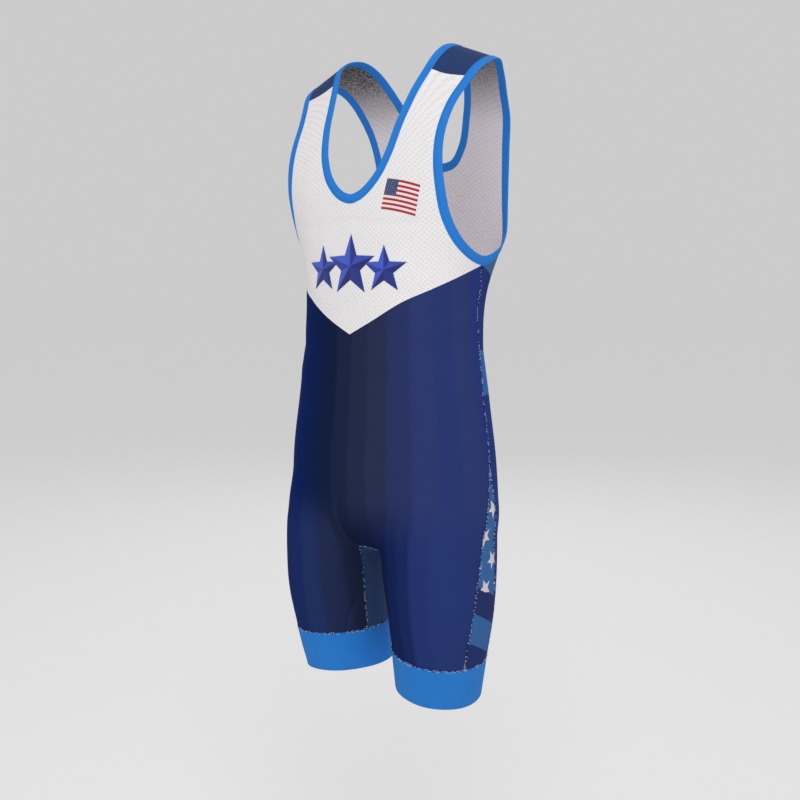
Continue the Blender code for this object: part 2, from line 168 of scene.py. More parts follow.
BACK_MIDDLE = [BACK_POINT, (0, 100, -270), NECK_BACK[-1]]
CROTCH_FRONT = (0, -69, -677)
CROTCH_BACK = (0, 24, -687)
BODY_MIDDLE = [CHEST_POINT, (0, -101, -470), (0, -109, -560), (0, -103, -620), (0, -90, -653), CROTCH_FRONT]
SEAT_MIDDLE = [BACK_POINT, (0, 76, -470), (0, 83, -560), (0, 80, -630), (0, 58, -672), CROTCH_BACK]
SIDE_SEAM = [
    SIDE_TOP, (136, 9, -319), (135, 5, -340), (136, 3, -366), (138, 3, -399),
    (143, 2, -434), (149, -2, -467), (155, -2, -501), (159, -3, -530), WEDGE_TIP,
]
SIDE_FRONT = [
    WEDGE_TIP, (164, -11, -600), (165, -20, -645), (165, -32, -700), (160, -40, -752), (153, -42, -795),
]
SIDE_BACK = [WEDGE_TIP, (164, 3, -600), (165, 8, -645), (165, 12, -700), (160, 16, -752), (152, 16, -795)]
INSEAM_FRONT = [
    CROTCH_FRONT, (13, -65, -681), (21, -56, -689), (25, -48, -716), (28, -42, -748), (28, -38, -776)
]
INSEAM_BACK = [CROTCH_BACK, (14, 25, -688), (28, 27, -700), (32, 27, -735), (34, 22, -775)]

# Where four seams meet the leg band: degrees round the thigh, from its front towards the outside
AT_INSEAM_FRONT, AT_SIDE_FRONT, AT_SIDE_BACK, AT_INSEAM_BACK = -75, 67, 113, 242
BAND_TURNS = [
    np.linspace(AT_INSEAM_FRONT, AT_SIDE_FRONT, ACROSS * FINER + 1),
    np.linspace(AT_SIDE_FRONT, AT_SIDE_BACK, ACROSS_SIDE * FINER + 1),
    np.linspace(AT_SIDE_BACK, AT_INSEAM_BACK, ACROSS * FINER + 1),
    np.linspace(AT_INSEAM_BACK, AT_INSEAM_FRONT + 360, ACROSS_GUSSET * FINER + 1),
]

MERGE = 1e-5  # points nearer than this are one point
MM = 1000
PROBE = 2e-4  # step for the gradient of the distance
FLATTEST = 0.04  # the gradient's square is never taken as less than this
LONGEST_MOVE = 0.012
NOTHING = 1e-12
FINE = 240  # points drawn for each place of a seam before it is cut in equal cells

# %% The form and its seams


def smooth_rows(table, at):
    """Reads a table's other columns along a smooth curve through its rows, at values of its first column."""
    places, rows = table[:, 0], table[:, 1:]
    slopes = np.gradient(rows, places, axis=0)
    at = np.clip(at, places[0], places[-1])
    row = np.clip(np.searchsorted(places, at, side="right") - 1, 0, len(places) - 2)
    step = places[row + 1] - places[row]
    t = ((at - places[row]) / step)[..., None]
    step = step[..., None]
    return (
        rows[row] * (1 + 2 * t) * (1 - t) ** 2
        + slopes[row] * step * t * (1 - t) ** 2
        + rows[row + 1] * t * t * (3 - 2 * t)
        + slopes[row + 1] * step * t * t * (t - 1)
    )


def ease(t):
    t = np.clip(t, 0, 1)
    return t * t * (3 - 2 * t)


# The square root of the depth spaces the torso's rows, which rounds the ridge of the shoulders
TORSO_BY_ROOT = np.column_stack([np.sqrt(-TORSO[:, 0]), TORSO[:, 1:]])
THIGH_BY_DEPTH = np.column_stack([-THIGH[:, 0], THIGH[:, 1:]])


def torso_level(points):
    """Height, with the shoulders' slope away from the neck taken out of it."""
    beyond_neck = np.hypot(points[..., 0], NECK_SOFTNESS) - SLOPE_STARTS_X
    sloping = SHOULDER_SLOPE * ease((points[..., 2] - SLOPE_ENDS_Z) / SLOPE_FADE)
    return points[..., 2] + sloping * beyond_neck


def outside_torso(points):
    """Distance outside the torso: superellipse sections, sloped at the shoulders and rounded at the crotch.

    A section's own measure is 1 on the outline. Half of its square less 1, times the section's depth,
    is close to the distance there, and stays smooth over the ridge, where the sections shrink to a line.
    """
    x, y, z = np.abs(points[..., 0]), points[..., 1], points[..., 2]
    level = torso_level(points)
    depth = np.maximum(-level, RIDGE_DEPTH)
    half_width, front, back, squareness = np.moveaxis(smooth_rows(TORSO_BY_ROOT, np.sqrt(depth)), -1, 0)
    half_depth = (back - front) / 2
    across = (x / half_width) ** squareness
    through = (np.abs(y - (front + back) / 2) / half_depth) ** squareness
    down = np.maximum((CROTCH_TURN_Z - z) / (CROTCH_TURN_Z - CROTCH_Z), 0) ** CROTCH_SQUARENESS
    measure = ((across + through) ** (CROTCH_SQUARENESS / squareness) + down) ** (1 / CROTCH_SQUARENESS)
    return np.minimum(depth, half_depth) * (measure**2 - 1) / 2 + level + depth


def outside_thigh(points):
    """Distance outside the nearer thigh: oval sections round a leaning line."""
    x, y, z = np.abs(points[..., 0]), points[..., 1], points[..., 2]
    centre_x, centre_y, half_width, half_depth, lean = np.moveaxis(smooth_rows(THIGH_BY_DEPTH, -z), -1, 0)
    ratio = np.hypot((x - centre_x + lean * (y - centre_y)) / half_width, (y - centre_y) / half_depth)
    sinking = THIGH_FADE * np.maximum(z - THIGH_FADES_Z, 0) ** 2
    return (ratio - 1) * np.minimum(half_width, half_depth) + sinking


def outside(points):
    """Distance outside the whole figure: torso and thighs joined with a soft hollow between them."""
    torso, thigh = outside_torso(points), outside_thigh(points)
    mix = np.clip(0.5 + 0.5 * (thigh - torso) / THIGH_BLEND, 0, 1)
    return thigh * (1 - mix) + torso * mix - THIGH_BLEND * mix * (1 - mix)


def uphill(points):
    """Gradient of the distance, by central differences."""
    moves = PROBE * np.eye(3)
    return np.stack([outside(points + m) - outside(points - m) for m in moves], -1) / (2 * PROBE)


def seated(points, turns=12):
    """The points, moved uphill or downhill until they lie on the figure."""
    points = np.array(points, float)
    for _ in range(turns):
        gradient = uphill(points)
        steepness = np.maximum((gradient**2).sum(-1), FLATTEST)
        move = -(outside(points) / steepness)[..., None] * gradient
        length = np.linalg.norm(move, axis=-1, keepdims=True)
        points += move * np.minimum(1, LONGEST_MOVE / np.maximum(length, NOTHING))
    return points


def unit(vectors):
    return vectors / np.maximum(np.linalg.norm(vectors, axis=-1, keepdims=True), NOTHING)


def along(points):
    """Distance along a line of points."""
    return np.concatenate([[0], np.cumsum(np.linalg.norm(np.diff(points, axis=0), axis=1))])


def seams(tables, counts, before=None, after=None):
    """One smooth curve through the tables' places, cut where each table ends and seated on the figure.

    Each stretch gets its own count of equal cells. Places before and after the curve only steer
    its two ends, so that it runs on smoothly into its mirror image or round its loop.
    """
    line = [place for table in tables for place in table]
    first = 0 if before is None else 1
    ends = first + np.cumsum([len(table) for table in tables]) - 1
    line = np.array([*([before] if before else []), *line, *([after] if after else [])]) / MM
    distance = along(line)
    fine_distance = np.linspace(0, distance[-1], FINE * len(line))
    fine = smooth_rows(np.column_stack([distance, line]), fine_distance)
    fine_at = along(fine)
    marks = np.interp(distance[[first, *ends]], fine_distance, fine_at)
    stretches = []
    for start, end, count in zip(marks, marks[1:], counts):
        at = np.linspace(start, end, count * FINER + 1)
        points = np.column_stack([np.interp(at, fine_at, fine[:, k]) for k in range(3)])
        stretches.append(seated(points))
    return stretches


def seam(table, count):
    return seams([table], [count])[0]


def ring(degrees, z):
    """Points round the left thigh at a height that drops on the outer side."""
    angle = np.radians(degrees)
    height = z - OUTER_DROP * np.sin(angle)
    centre_x, centre_y, half_width, half_depth, lean = smooth_rows(THIGH_BY_DEPTH, -height).T
    ahead = half_depth * np.cos(angle)
    x = centre_x + half_width * np.sin(angle) + lean * ahead
    return np.column_stack([x, centre_y - ahead, height])


def joined(*stretches):
    """Stretches that meet end to end, as one line."""
    return np.concatenate([stretches[0], *[stretch[1:] for stretch in stretches[1:]]])


# %% [markdown]
# ## From seams to fine cloth
#
# The solids have cells of one to three centimetres. For the render, each seam is drawn again with eight
# times as many points. The cloth between seams is evened out on the coarse grid, as in the solid, because
# that is quick. Then smooth curves through its points give the fine grid, its edges are set on the fine
# seams, and every point is seated on the figure again.

# %% Fine grids


def finer(grid, times):
    """Smooth curves through the points of each column, then of each row, read at equal steps.

    Between points b and c, with neighbours a and d, the curve at share t is
    b + t/2 (c - a + t (2a - 5b + 4c - d + t (3b - a - 3c + d))).
    """
    for axis in (0, 1):
        points = np.moveaxis(grid, axis, 0)
        before, after = 2 * points[:1] - points[1:2], 2 * points[-1:] - points[-2:-1]
        points = np.concatenate([before, points, after])[:, None]
        a, b, c, d = points[:-3], points[1:-2], points[2:-1], points[3:]
        t = (np.arange(times) / times).reshape(1, times, 1, 1)
        curve = b + t / 2 * (c - a + t * (2 * a - 5 * b + 4 * c - d + t * (3 * b - a - 3 * c + d)))
        fine = np.concatenate([curve.reshape(-1, *curve.shape[2:]), c[-1]])
        grid = np.moveaxis(fine, 0, axis)
    return grid


def between(inner, outer, first, last):
    """The surface between four edges: the two straight blends of opposite edges, less that of the corners."""
    u = np.linspace(0, 1, len(inner))[:, None, None]
    v = np.linspace(0, 1, len(first))[None, :, None]
    corners = (
        inner[0] * (1 - u) * (1 - v) + outer[0] * (1 - u) * v + inner[-1] * u * (1 - v) + outer[-1] * u * v
    )
    return inner[:, None] * (1 - v) + outer[:, None] * v + first[None] * (1 - u) + last[None] * u - corners


def cloth(*edges, turns=90):
    """A fine grid on the figure between four fine edges: inner, outer, first row and last row."""
    coarse = between(*(edge[::FINER] for edge in edges))
    coarse[1:-1, 1:-1] = seated(coarse[1:-1, 1:-1])
    for _ in range(turns):
        middle = (coarse[:-2, 1:-1] + coarse[2:, 1:-1] + coarse[1:-1, :-2] + coarse[1:-1, 2:]) / 4
        coarse[1:-1, 1:-1] = seated(middle, turns=2)
    fine = finer(coarse, FINER)
    inner, outer, first, last = edges
    fine += between(inner - fine[:, 0], outer - fine[:, -1], first - fine[0], last - fine[-1])
    fine[1:-1, 1:-1] = seated(fine[1:-1, 1:-1], turns=4)
    return fine


def pinned(line, start, end):
    """The line with its ends set on the corners that it shares with other seams."""
    return np.concatenate([[start], line[1:-1], [end]])


def middle(table, count, start, end):
    """A seam down the middle of the body."""
    line = pinned(seam(table, count), start, end)
    line[:, 0] = 0
    return line


# %% Seams
neck_front, neck_shoulder, neck_back = seams(
    [NECK_FRONT, NECK_SHOULDER, NECK_BACK],
    [CHEST_NECK, OVER_SHOULDER, BACK_NECK],
    before=(-NECK_FRONT[1][0], *NECK_FRONT[1][1:]),
    after=(-NECK_BACK[-2][0], *NECK_BACK[-2][1:]),
)
neck_front[0, 0] = neck_back[-1, 0] = 0
arm_front, arm_shoulder, arm_back = seams(
    [ARM_FRONT, ARM_SHOULDER, ARM_BACK],
    [CHEST_CENTRE + CHEST_NECK, OVER_SHOULDER, BACK_CENTRE + BACK_NECK],
    before=ARM_BACK[-2],
    after=ARM_FRONT[1],
)
side_top = arm_back[-1] = arm_front[0]
corners = seated(np.array([CHEST_POINT, BACK_POINT, CROTCH_FRONT, CROTCH_BACK, WEDGE_TIP]) / MM)
chest_point, back_point, crotch_front, crotch_back, wedge_tip = corners
yoke_front = pinned(seam(YOKE_FRONT, ACROSS), neck_front[-1], arm_front[-1])
yoke_back = pinned(seam(YOKE_BACK, ACROSS), neck_shoulder[-1], arm_shoulder[-1])
v_front = pinned(seam(V_FRONT, ACROSS), chest_point, side_top)
v_back = pinned(seam(V_BACK, ACROSS), back_point, side_top)

band_front, band_side, band_back, band_inner = (ring(turn, LEG_BAND_SEAM_Z) for turn in BAND_TURNS)
side_seam = pinned(seam(SIDE_SEAM, SIDE_UPPER), side_top, wedge_tip)
side_front = pinned(seam([*SIDE_FRONT, MM * band_front[-1]], SIDE_LOWER), wedge_tip, band_front[-1])
side_back = pinned(seam([*SIDE_BACK, MM * band_back[0]], SIDE_LOWER), wedge_tip, band_back[0])
inseam_front = pinned(seam([*INSEAM_FRONT, MM * band_front[0]], BODY_INSEAM), crotch_front, band_front[0])
inseam_back = pinned(seam([*INSEAM_BACK, MM * band_back[-1]], BODY_INSEAM), crotch_back, band_back[-1])

chest_middle = middle(CHEST_MIDDLE, CHEST_CENTRE, chest_point, neck_front[0])
back_middle = middle(BACK_MIDDLE, BACK_CENTRE, back_point, neck_back[-1])
body_middle = middle(BODY_MIDDLE, BODY_CENTRE, chest_point, crotch_front)
seat_middle = middle(SEAT_MIDDLE, BODY_CENTRE, back_point, crotch_back)
crotch_middle = middle([CROTCH_FRONT, CROTCH_BACK], ACROSS_GUSSET, crotch_front, crotch_back)

# %% Cloth between the seams
grids = dict(
    chest=cloth(joined(chest_middle, neck_front), arm_front, v_front, yoke_front),
    upper_back=cloth(joined(back_middle, neck_back[::-1]), arm_back[::-1], v_back, yoke_back),
    body=cloth(joined(body_middle, inseam_front), joined(side_seam, side_front), v_front, band_front),
    seat=cloth(joined(seat_middle, inseam_back), joined(side_seam, side_back), v_back, band_back[::-1]),
    gusset=cloth(inseam_front, inseam_back, crotch_middle, band_inner[::-1]),
    patch=cloth(neck_shoulder, arm_shoulder, yoke_front, yoke_back),
    wedge=cloth(side_front, side_back, np.repeat(wedge_tip[None], len(band_side), axis=0), band_side),
)
print("Fine cells:", {name: grid.shape[:2] for name, grid in grids.items()})

# %% [markdown]
# ## What shapes the cloth besides the figure
#
# Three small things keep stretch knit from looking like paint. It dips where a seam's thread pulls it
# in. It puckers a little beside the seam, between stitches. And it drags in long soft creases where the
# body bends: at the waist, the groin and under the seat. All are moves along the surface's own
# direction outwards, a fraction of a millimetre to a few millimetres.

# %% Relief
SEAM_DIP, SEAM_DIP_WIDTH = 0.0007, 0.0018
PUCKER, PUCKER_LENGTH, PUCKER_REACH = 0.00028, 0.011, 0.009
PUCKER_DRIFT, PUCKER_DRIFT_OVER = 1.7, 0.031  # the puckers' pitch wanders: radians, and over what length
CREASE_STARTS = 0.007  # a crease has its full depth this far from a stitched edge

# Creases: from x, z to x, z on the left half, in millimetres; bow sideways; width; depth (a ridge is
# negative); 1 on the front, -1 on the back
CREASES = np.array([
    (6, -668, 92, -620, -9, 8, 2.4, 1),
    (18, -676, 110, -664, -8, 8, -1.0, 1),
    (30, -690, 104, -700, 5, 10, 1.1, 1),
    (0, -640, 60, -588, -6, 12, 0.8, 1),
    (88, -420, 146, -372, 6, 11, 1.2, 1),
    (104, -446, 148, -418, 5, 9, -0.8, 1),
    (70, -344, 134, -312, -3, 8, 0.7, 1),
    (-20, -229, 128, -238, 5, 5, 0.9, 1),
    (27, -750, 46, -846, -4, 2.6, 2.8, 1),
    (33, -750, 54, -846, -4, 2.6, 1.2, 1),
    (96, -116, 112, -168, 3, 9, 0.6, 1),
    (10, -660, 96, -640, -12, 10, 1.6, -1),
    (16, -676, 118, -668, -8, 9, -1.1, -1),
    (26, -690, 96, -712, 6, 10, 1.2, -1),
    (30, -430, 138, -398, 6, 12, 1.3, -1),
    (12, -404, 120, -360, 5, 10, -0.9, -1),
    (0, -350, 84, -300, -4, 12, 1.0, -1),
    (60, -250, 100, -210, 4, 9, 0.7, -1),
])


def creased(points):
    """Depth of all the creases at each point, in metres.

    A crease is a bowed line. Its depth falls off as a bell curve across the line, and fades to nothing
    at the two ends.
    """
    x, z = np.abs(points[..., 0]) * MM, points[..., 2] * MM
    on_front = np.where(uphill(points)[..., 1] < 0, 1, -1)
    depth = np.zeros(x.shape)
    for x0, z0, x1, z1, bow, width, deep, side in CREASES:
        length = np.hypot(x1 - x0, z1 - z0)
        ahead = ((x - x0) * (x1 - x0) + (z - z0) * (z1 - z0)) / length**2
        aside = ((x - x0) * (z1 - z0) - (z - z0) * (x1 - x0)) / length
        aside -= bow * (1 - (2 * ahead - 1) ** 2)
        fade = ease(4 * ahead) * ease(4 * (1 - ahead))
        depth += (on_front == side) * deep / MM * fade * np.exp(-((aside / width) ** 2))
    return depth


def runs(grid):
    """Distance run down each column of a grid, and across each row."""
    down = np.linalg.norm(np.diff(grid, axis=0, prepend=grid[:1]), axis=2).cumsum(0)
    across = np.linalg.norm(np.diff(grid, axis=1, prepend=grid[:, :1]), axis=2).cumsum(1)
    return down, across


def from_edges(grid, sides):
    """Distance from the nearest of the named edges, and the distance run along that edge."""
    down, across = runs(grid)
    ways = {
        "inner": (across, down[:, :1]),
        "outer": (across[:, -1:] - across, down[:, -1:]),
        "first": (down, across[:1]),
        "last": (down[-1:] - down, across[-1:]),
    }
    near, run = np.full(down.shape, 1.0), np.zeros(down.shape)
    for side in sides:
        distance, travelled = ways[side]
        nearer = distance < near
        near = np.where(nearer, distance, near)
        run = np.where(nearer, np.broadcast_to(travelled, down.shape), run)
    return near, run


def relief(grid, sides):
    """The grid moved in and out: dips along the stitched edges, puckers beside them, and creases."""
    near, run = from_edges(grid, sides)
    wave = np.sin(2 * np.pi * run / PUCKER_LENGTH + PUCKER_DRIFT * np.sin(run / PUCKER_DRIFT_OVER))
    out = PUCKER * wave * np.exp(-near / PUCKER_REACH) * ease(near / SEAM_DIP_WIDTH)
    out -= SEAM_DIP * np.exp(-((near / SEAM_DIP_WIDTH) ** 2))
    out -= creased(grid) * ease(near / CREASE_STARTS)
    return grid + out[..., None] * unit(uphill(grid))


# %% [markdown]
# ## Cloth coordinates
#
# A printed stripe or a knit's own lines follow the cloth and not the room. So every panel gets a UV map
# in metres: across is the distance round the waist from the front middle, and up is the distance along
# the body's profile, which goes on growing where the straps turn over the shoulder. On the thighs the
# knit's lines run on straight. A pair's right piece mirrors its left.

# %% Coordinates
WAIST = np.linspace(0, np.pi, 181)
WAIST_X, WAIST_FRONT, WAIST_BACK, WAIST_MIDDLE = 0.145, 0.088, 0.086, -0.012
PROFILE_Z = -np.linspace(0, 1, 201) ** 2


def girth(points):
    """Distance round an oval waist from the front middle, positive to the left."""
    depth = np.where(np.cos(WAIST) > 0, WAIST_FRONT, WAIST_BACK)
    oval = np.column_stack([WAIST_X * np.sin(WAIST), -depth * np.cos(WAIST)])
    turn = np.arctan2(oval[:, 0], -oval[:, 1])
    at = np.arctan2(np.abs(points[..., 0]), -(points[..., 1] - WAIST_MIDDLE))
    return np.where(points[..., 0] < -MERGE, -1, 1) * np.interp(at, turn, along(oval))


def cloth_coordinates(points):
    """Girth, and length along the front's or the back's profile down from the shoulder, below zero."""
    level = torso_level(points)
    front, back = smooth_rows(TORSO_BY_ROOT, np.sqrt(-PROFILE_Z))[:, 1:3].T
    on_front = points[..., 1] < WAIST_MIDDLE
    lengths = [along(np.column_stack([side, PROFILE_Z])) for side in (front, back)]
    down = np.where(on_front, *(np.interp(-level, -PROFILE_Z, length) for length in lengths))
    return np.stack([girth(points), -down], -1)


# %% [markdown]
# ## Making a mesh from a grid
#
# Each cell of a grid is one face. A panel over the middle of the body is two mirrored halves, merged
# where they touch. A Solidify modifier gives the wall its thickness outwards from the figure, and puts
# the cloth's plain back on the inside. Then it is applied, and the sharp rim is marked, so that smooth
# shading doesn't smear round the cut edge.

# %% Mesh from grids


def mirrored(points):
    return points * np.array([-1, 1, 1])


def cells(rows, columns, closed=False):
    """Corner numbers of each cell. A closed grid's last column meets its first."""
    index = np.arange(rows * columns).reshape(rows, columns)
    if closed:
        index = np.column_stack([index, index[:, 0]])
    corners = (index[:-1, :-1], index[:-1, 1:], index[1:, 1:], index[1:, :-1])
    return np.stack(corners, -1).reshape(-1, 4)


def new_piece(name, points, faces, materials, coordinates=None):
    """A named smooth object from points and lists of corners. Its UV map is its cloth coordinates."""
    mesh = bpy.data.meshes.new(name)
    mesh.from_pydata(points.reshape(-1, 3).tolist(), [], faces)
    if coordinates is not None:
        corner_of = np.empty(len(mesh.loops), np.int32)
        mesh.loops.foreach_get("vertex_index", corner_of)
        uv = mesh.uv_layers.new(name="cloth")
        uv.uv.foreach_set("vector", coordinates.reshape(-1, 2)[corner_of].astype(np.float32).ravel())
    for material in materials:
        mesh.materials.append(material)
    mesh.shade_smooth()
    piece = bpy.data.objects.new(name, mesh)
    bpy.context.scene.collection.objects.link(piece)
    return piece


def tidy_shell(piece, wall=0.0, sharp=50):
    """Merges doubles, turns the faces outwards from the figure, and adds and applies the wall."""
    mesh = piece.data
    shape = bmesh.new()
    shape.from_mesh(mesh)
    bmesh.ops.remove_doubles(shape, verts=shape.verts, dist=MERGE)
    shape.faces.ensure_lookup_table()
    shape.normal_update()
    face = shape.faces[len(shape.faces) // 2]
    if uphill(np.array(face.calc_center_median())) @ np.array(face.normal) < 0:
        bmesh.ops.reverse_faces(shape, faces=shape.faces)
    shape.to_mesh(mesh)
    shape.free()
    if wall:
        thicken = piece.modifiers.new("Wall", "SOLIDIFY")
        thicken.thickness = wall
        thicken.offset = 1
        thicken.material_offset = 1
        thicken.material_offset_rim = 1
        applied = bpy.data.meshes.new_from_object(piece.evaluated_get(bpy.context.evaluated_depsgraph_get()))
        applied.name = piece.name
        piece.modifiers.clear()
        piece.data = applied
    piece.data.set_sharp_from_angle(angle=np.radians(sharp))


# %% [markdown]
# ## Materials
#
# Sports knit is dyed or printed polyester. Its fibres are dull, so it is rough, with a little sheen at
# a glancing angle from the fine hairs of the surface. What the eye reads as knit is a fine diagonal
# line of stitches. Real stitches are half a millimetre apart, which is under a pixel here, so the lines
# are drawn about 3 mm apart. Patterns follow the cloth coordinates, and their scales are in metres.

# %% Material helpers
LINE_SPACING, LINE_TURN = 0.0032, 32  # the dense knit's lines: pitch, and degrees from the cloth's width
BUMP_STRENGTH = 0.35


def linear(hex_colour):
    """An sRGB hex colour as the three linear numbers that a shader takes."""
    srgb = np.array([int(hex_colour[i : i + 2], 16) for i in (1, 3, 5)]) / 255
    low, high = srgb / 12.92, ((srgb + 0.055) / 1.055) ** 2.4
    return np.where(srgb <= 0.04045, low, high).tolist()


def feed(tree, value, socket):
    """Gives a socket a plain value, or links it to a node's socket, or to a node's first output in use."""
    if isinstance(value, bpy.types.Node):
        value = next(output for output in value.outputs if output.enabled)
    if isinstance(value, bpy.types.NodeSocket):
        tree.links.new(value, socket)
    else:
        socket.default_value = value


def add(tree, kind, inputs=None, **settings):
    """Adds a node with its settings. Each input is a plain value, another node, or a node's socket."""
    made = tree.nodes.new(kind)
    for setting, value in settings.items():
        setattr(made, setting, value)
    for name, value in (inputs or {}).items():
        feed(tree, value, made.inputs[name])
    return made


def fabric(name, roughness=0.85, sheen=0.02, specular=0.15):
    """An empty knit material, its tree, and the node that gives the cloth coordinates."""
    made = bpy.data.materials.new(name)
    made.use_nodes = True
    tree = made.node_tree
    shader = tree.nodes["Principled BSDF"]
    shader.inputs["Roughness"].default_value = roughness
    shader.inputs["Specular IOR Level"].default_value = specular
    shader.inputs["Sheen Weight"].default_value = sheen
    shader.inputs["Sheen Roughness"].default_value = 0.5
    return made, tree, add(tree, "ShaderNodeUVMap", uv_map="cloth")


def knit_lines(tree, where, spacing=LINE_SPACING, degrees=LINE_TURN):
    """A sine wave across lines that lie at an angle to the cloth's width, from -1 to 1."""
    per_metre = 2 * np.pi / spacing
    turn = np.radians(degrees)
    way = (-np.sin(turn) * per_metre, np.cos(turn) * per_metre, 0)
    phase = add(tree, "ShaderNodeVectorMath", {0: where, 1: way}, operation="DOT_PRODUCT")
    return add(tree, "ShaderNodeMath", {0: phase}, operation="SINE")


def object_place(tree):
    """The place of a point in metres, by its three parts."""
    place = add(tree, "ShaderNodeTexCoord").outputs["Object"]
    return add(tree, "ShaderNodeSeparateXYZ", {0: place}).outputs


def mottled(tree, size, detail=2.0):
    """Soft cloudy noise of that size in metres, from 0 to 1, fixed to the object."""
    place = add(tree, "ShaderNodeTexCoord").outputs["Object"]
    return add(tree, "ShaderNodeTexNoise", {"Vector": place, "Scale": 1 / size, "Detail": detail})


def shaded(tree, colour, *waves):
    """The colour made lighter and darker by waves: each a node, its middle value, and how much it does."""
    for wave, centre, amount in waves:
        brighter = {0: wave, 1: amount, 2: 1 - centre * amount}
        light = add(tree, "ShaderNodeMath", brighter, operation="MULTIPLY_ADD")
        colour = add(tree, "ShaderNodeVectorMath", {0: colour, 1: light}, operation="MULTIPLY")
    return colour


def finish(tree, colour, height, depth):
    """Links the colour and the bump, which is this deep in metres."""
    shader = tree.nodes["Principled BSDF"]
    feed(tree, colour, shader.inputs["Base Color"])
    bump = add(tree, "ShaderNodeBump", {"Height": height, "Distance": depth, "Strength": BUMP_STRENGTH})
    feed(tree, bump, shader.inputs["Normal"])


# %% Mesh knit, for the chest, and the plain back of every printed panel
HOLE_SPACING = 0.0046
HOLE_RADIUS = 0.0011
HOLE_TURN = 38
HOLE_STRAY = 0.12  # how far a hole may stand off its row, as a share of the most that the pattern allows
HOLE_RIM = np.array([0.55, 1.5])  # a hole's dark fades out between these shares of its radius
# Painted shade: the cloth's inside is darkened near the shoulders, in specks
SHOULDER_SHADE_COLOUR = "#26242a"
SHADE_FROM_Z, SHADE_TO_Z = -0.105, -0.003  # painted shade inside near the shoulders: none below the first height, full above the second
SHADE_SPECK_SIZE, SHADE_SPECK_SPREAD, SHADE_SPECK_LEAST = 0.0026, 0.9, 0.42


def pin_holes(tree, where):
    """1 in the little holes of the mesh, which stand in diagonal rows, and 0 on the knit between them."""
    turned = add(tree, "ShaderNodeMapping", {"Vector": where, "Rotation": (0, 0, np.radians(HOLE_TURN))})
    lattice = {"Vector": turned, "Scale": 1 / HOLE_SPACING, "Randomness": HOLE_STRAY}
    spot = add(tree, "ShaderNodeTexVoronoi", lattice, feature="F1")
    inner, outer = (HOLE_RADIUS / HOLE_SPACING * HOLE_RIM).tolist()
    fade = {"Value": spot, "From Min": inner, "From Max": outer, "To Min": 1.0, "To Max": 0.0}
    return add(tree, "ShaderNodeMapRange", fade, interpolation_type="SMOOTHSTEP")


def mesh_knit(name, hex_colour, hole_colour, hole_share, shade_colour=None):
    """Open mesh: the holes let the dark inside show, so they are darker and sunk.

    With a shade colour, the inside gets painted shade near the shoulders, where little light reaches: a
    speckled dark that thins out down the straps.
    """
    made, tree, where = fabric(name, roughness=0.9, sheen=0.03)
    hole = pin_holes(tree, where)
    lines = knit_lines(tree, where, HOLE_SPACING, HOLE_TURN)
    seen = add(tree, "ShaderNodeMath", {0: hole, 1: hole_share}, operation="MULTIPLY")
    holed = {"Factor": seen, "A": linear(hex_colour), "B": linear(hole_colour)}
    colour = add(tree, "ShaderNodeMix", holed, data_type="VECTOR")
    # Painted shade near the shoulders, speckled and darkest at the top
    if shade_colour is not None:
        heights = {"Value": object_place(tree)["Z"], "From Min": SHADE_FROM_Z, "From Max": SHADE_TO_Z}
        shade_by_height = add(tree, "ShaderNodeMapRange", heights, interpolation_type="SMOOTHSTEP")
        speckled = {0: mottled(tree, SHADE_SPECK_SIZE, detail=1.0), 1: SHADE_SPECK_SPREAD, 2: SHADE_SPECK_LEAST}
        shade_specks = add(tree, "ShaderNodeMath", speckled, operation="MULTIPLY_ADD")
        share = add(tree, "ShaderNodeMath", {0: shade_by_height, 1: shade_specks}, operation="MULTIPLY", use_clamp=True)
        shade_mix = {"Factor": share, "A": colour, "B": linear(shade_colour)}
        colour = add(tree, "ShaderNodeMix", shade_mix, data_type="VECTOR")
    colour = shaded(tree, colour, (lines, 0, 0.018), (mottled(tree, 0.03), 0.5, 0.05))
    proud = add(tree, "ShaderNodeMath", {0: lines, 1: 0.25, 2: hole}, operation="MULTIPLY_ADD")
    sunk = add(tree, "ShaderNodeMath", {0: 1.0, 1: proud}, operation="SUBTRACT")
    finish(tree, colour, sunk, depth=0.0005)
    return made


WHITE_MESH = mesh_knit("white polyester birdseye mesh", "#efedee", "#b3a8ae", 0.28)
# The inside of every panel, with painted shade near the shoulders
PLAIN_BACK = mesh_knit("unprinted back of the knit", "#ece4e7", "#a79fa7", 0.24, shade_colour=SHOULDER_SHADE_COLOUR)

# %% Dense knits of one colour


def dense_knit(name, hex_colour, lines=0.05, spacing=LINE_SPACING, degrees=LINE_TURN):
    """Close knit: fine diagonal stitch lines over an even dye, with a slight cloudiness."""
    made, tree, where = fabric(name)
    wave = knit_lines(tree, where, spacing, degrees)
    colour = shaded(tree, linear(hex_colour), (wave, 0, lines), (mottled(tree, 0.02), 0.5, 0.10))
    finish(tree, colour, wave, depth=0.0003)
    return made


BINDING_KNIT = dense_knit("blue elastane binding", "#2a80d8", lines=0.03, spacing=0.0016, degrees=90)
BAND_KNIT = dense_knit("blue compression band", "#2779cb", lines=0.07)
YOKE_KNIT = dense_knit("navy shoulder knit", "#263c6c", lines=0.03)
GUSSET_KNIT = dense_knit("navy inseam knit", "#2b4470", lines=0.04)
STEEL_MESH = mesh_knit("steel blue birdseye mesh", "#3c6599", "#27476f", 0.45)
print("Knits:", ", ".join(material.name for material in bpy.data.materials))
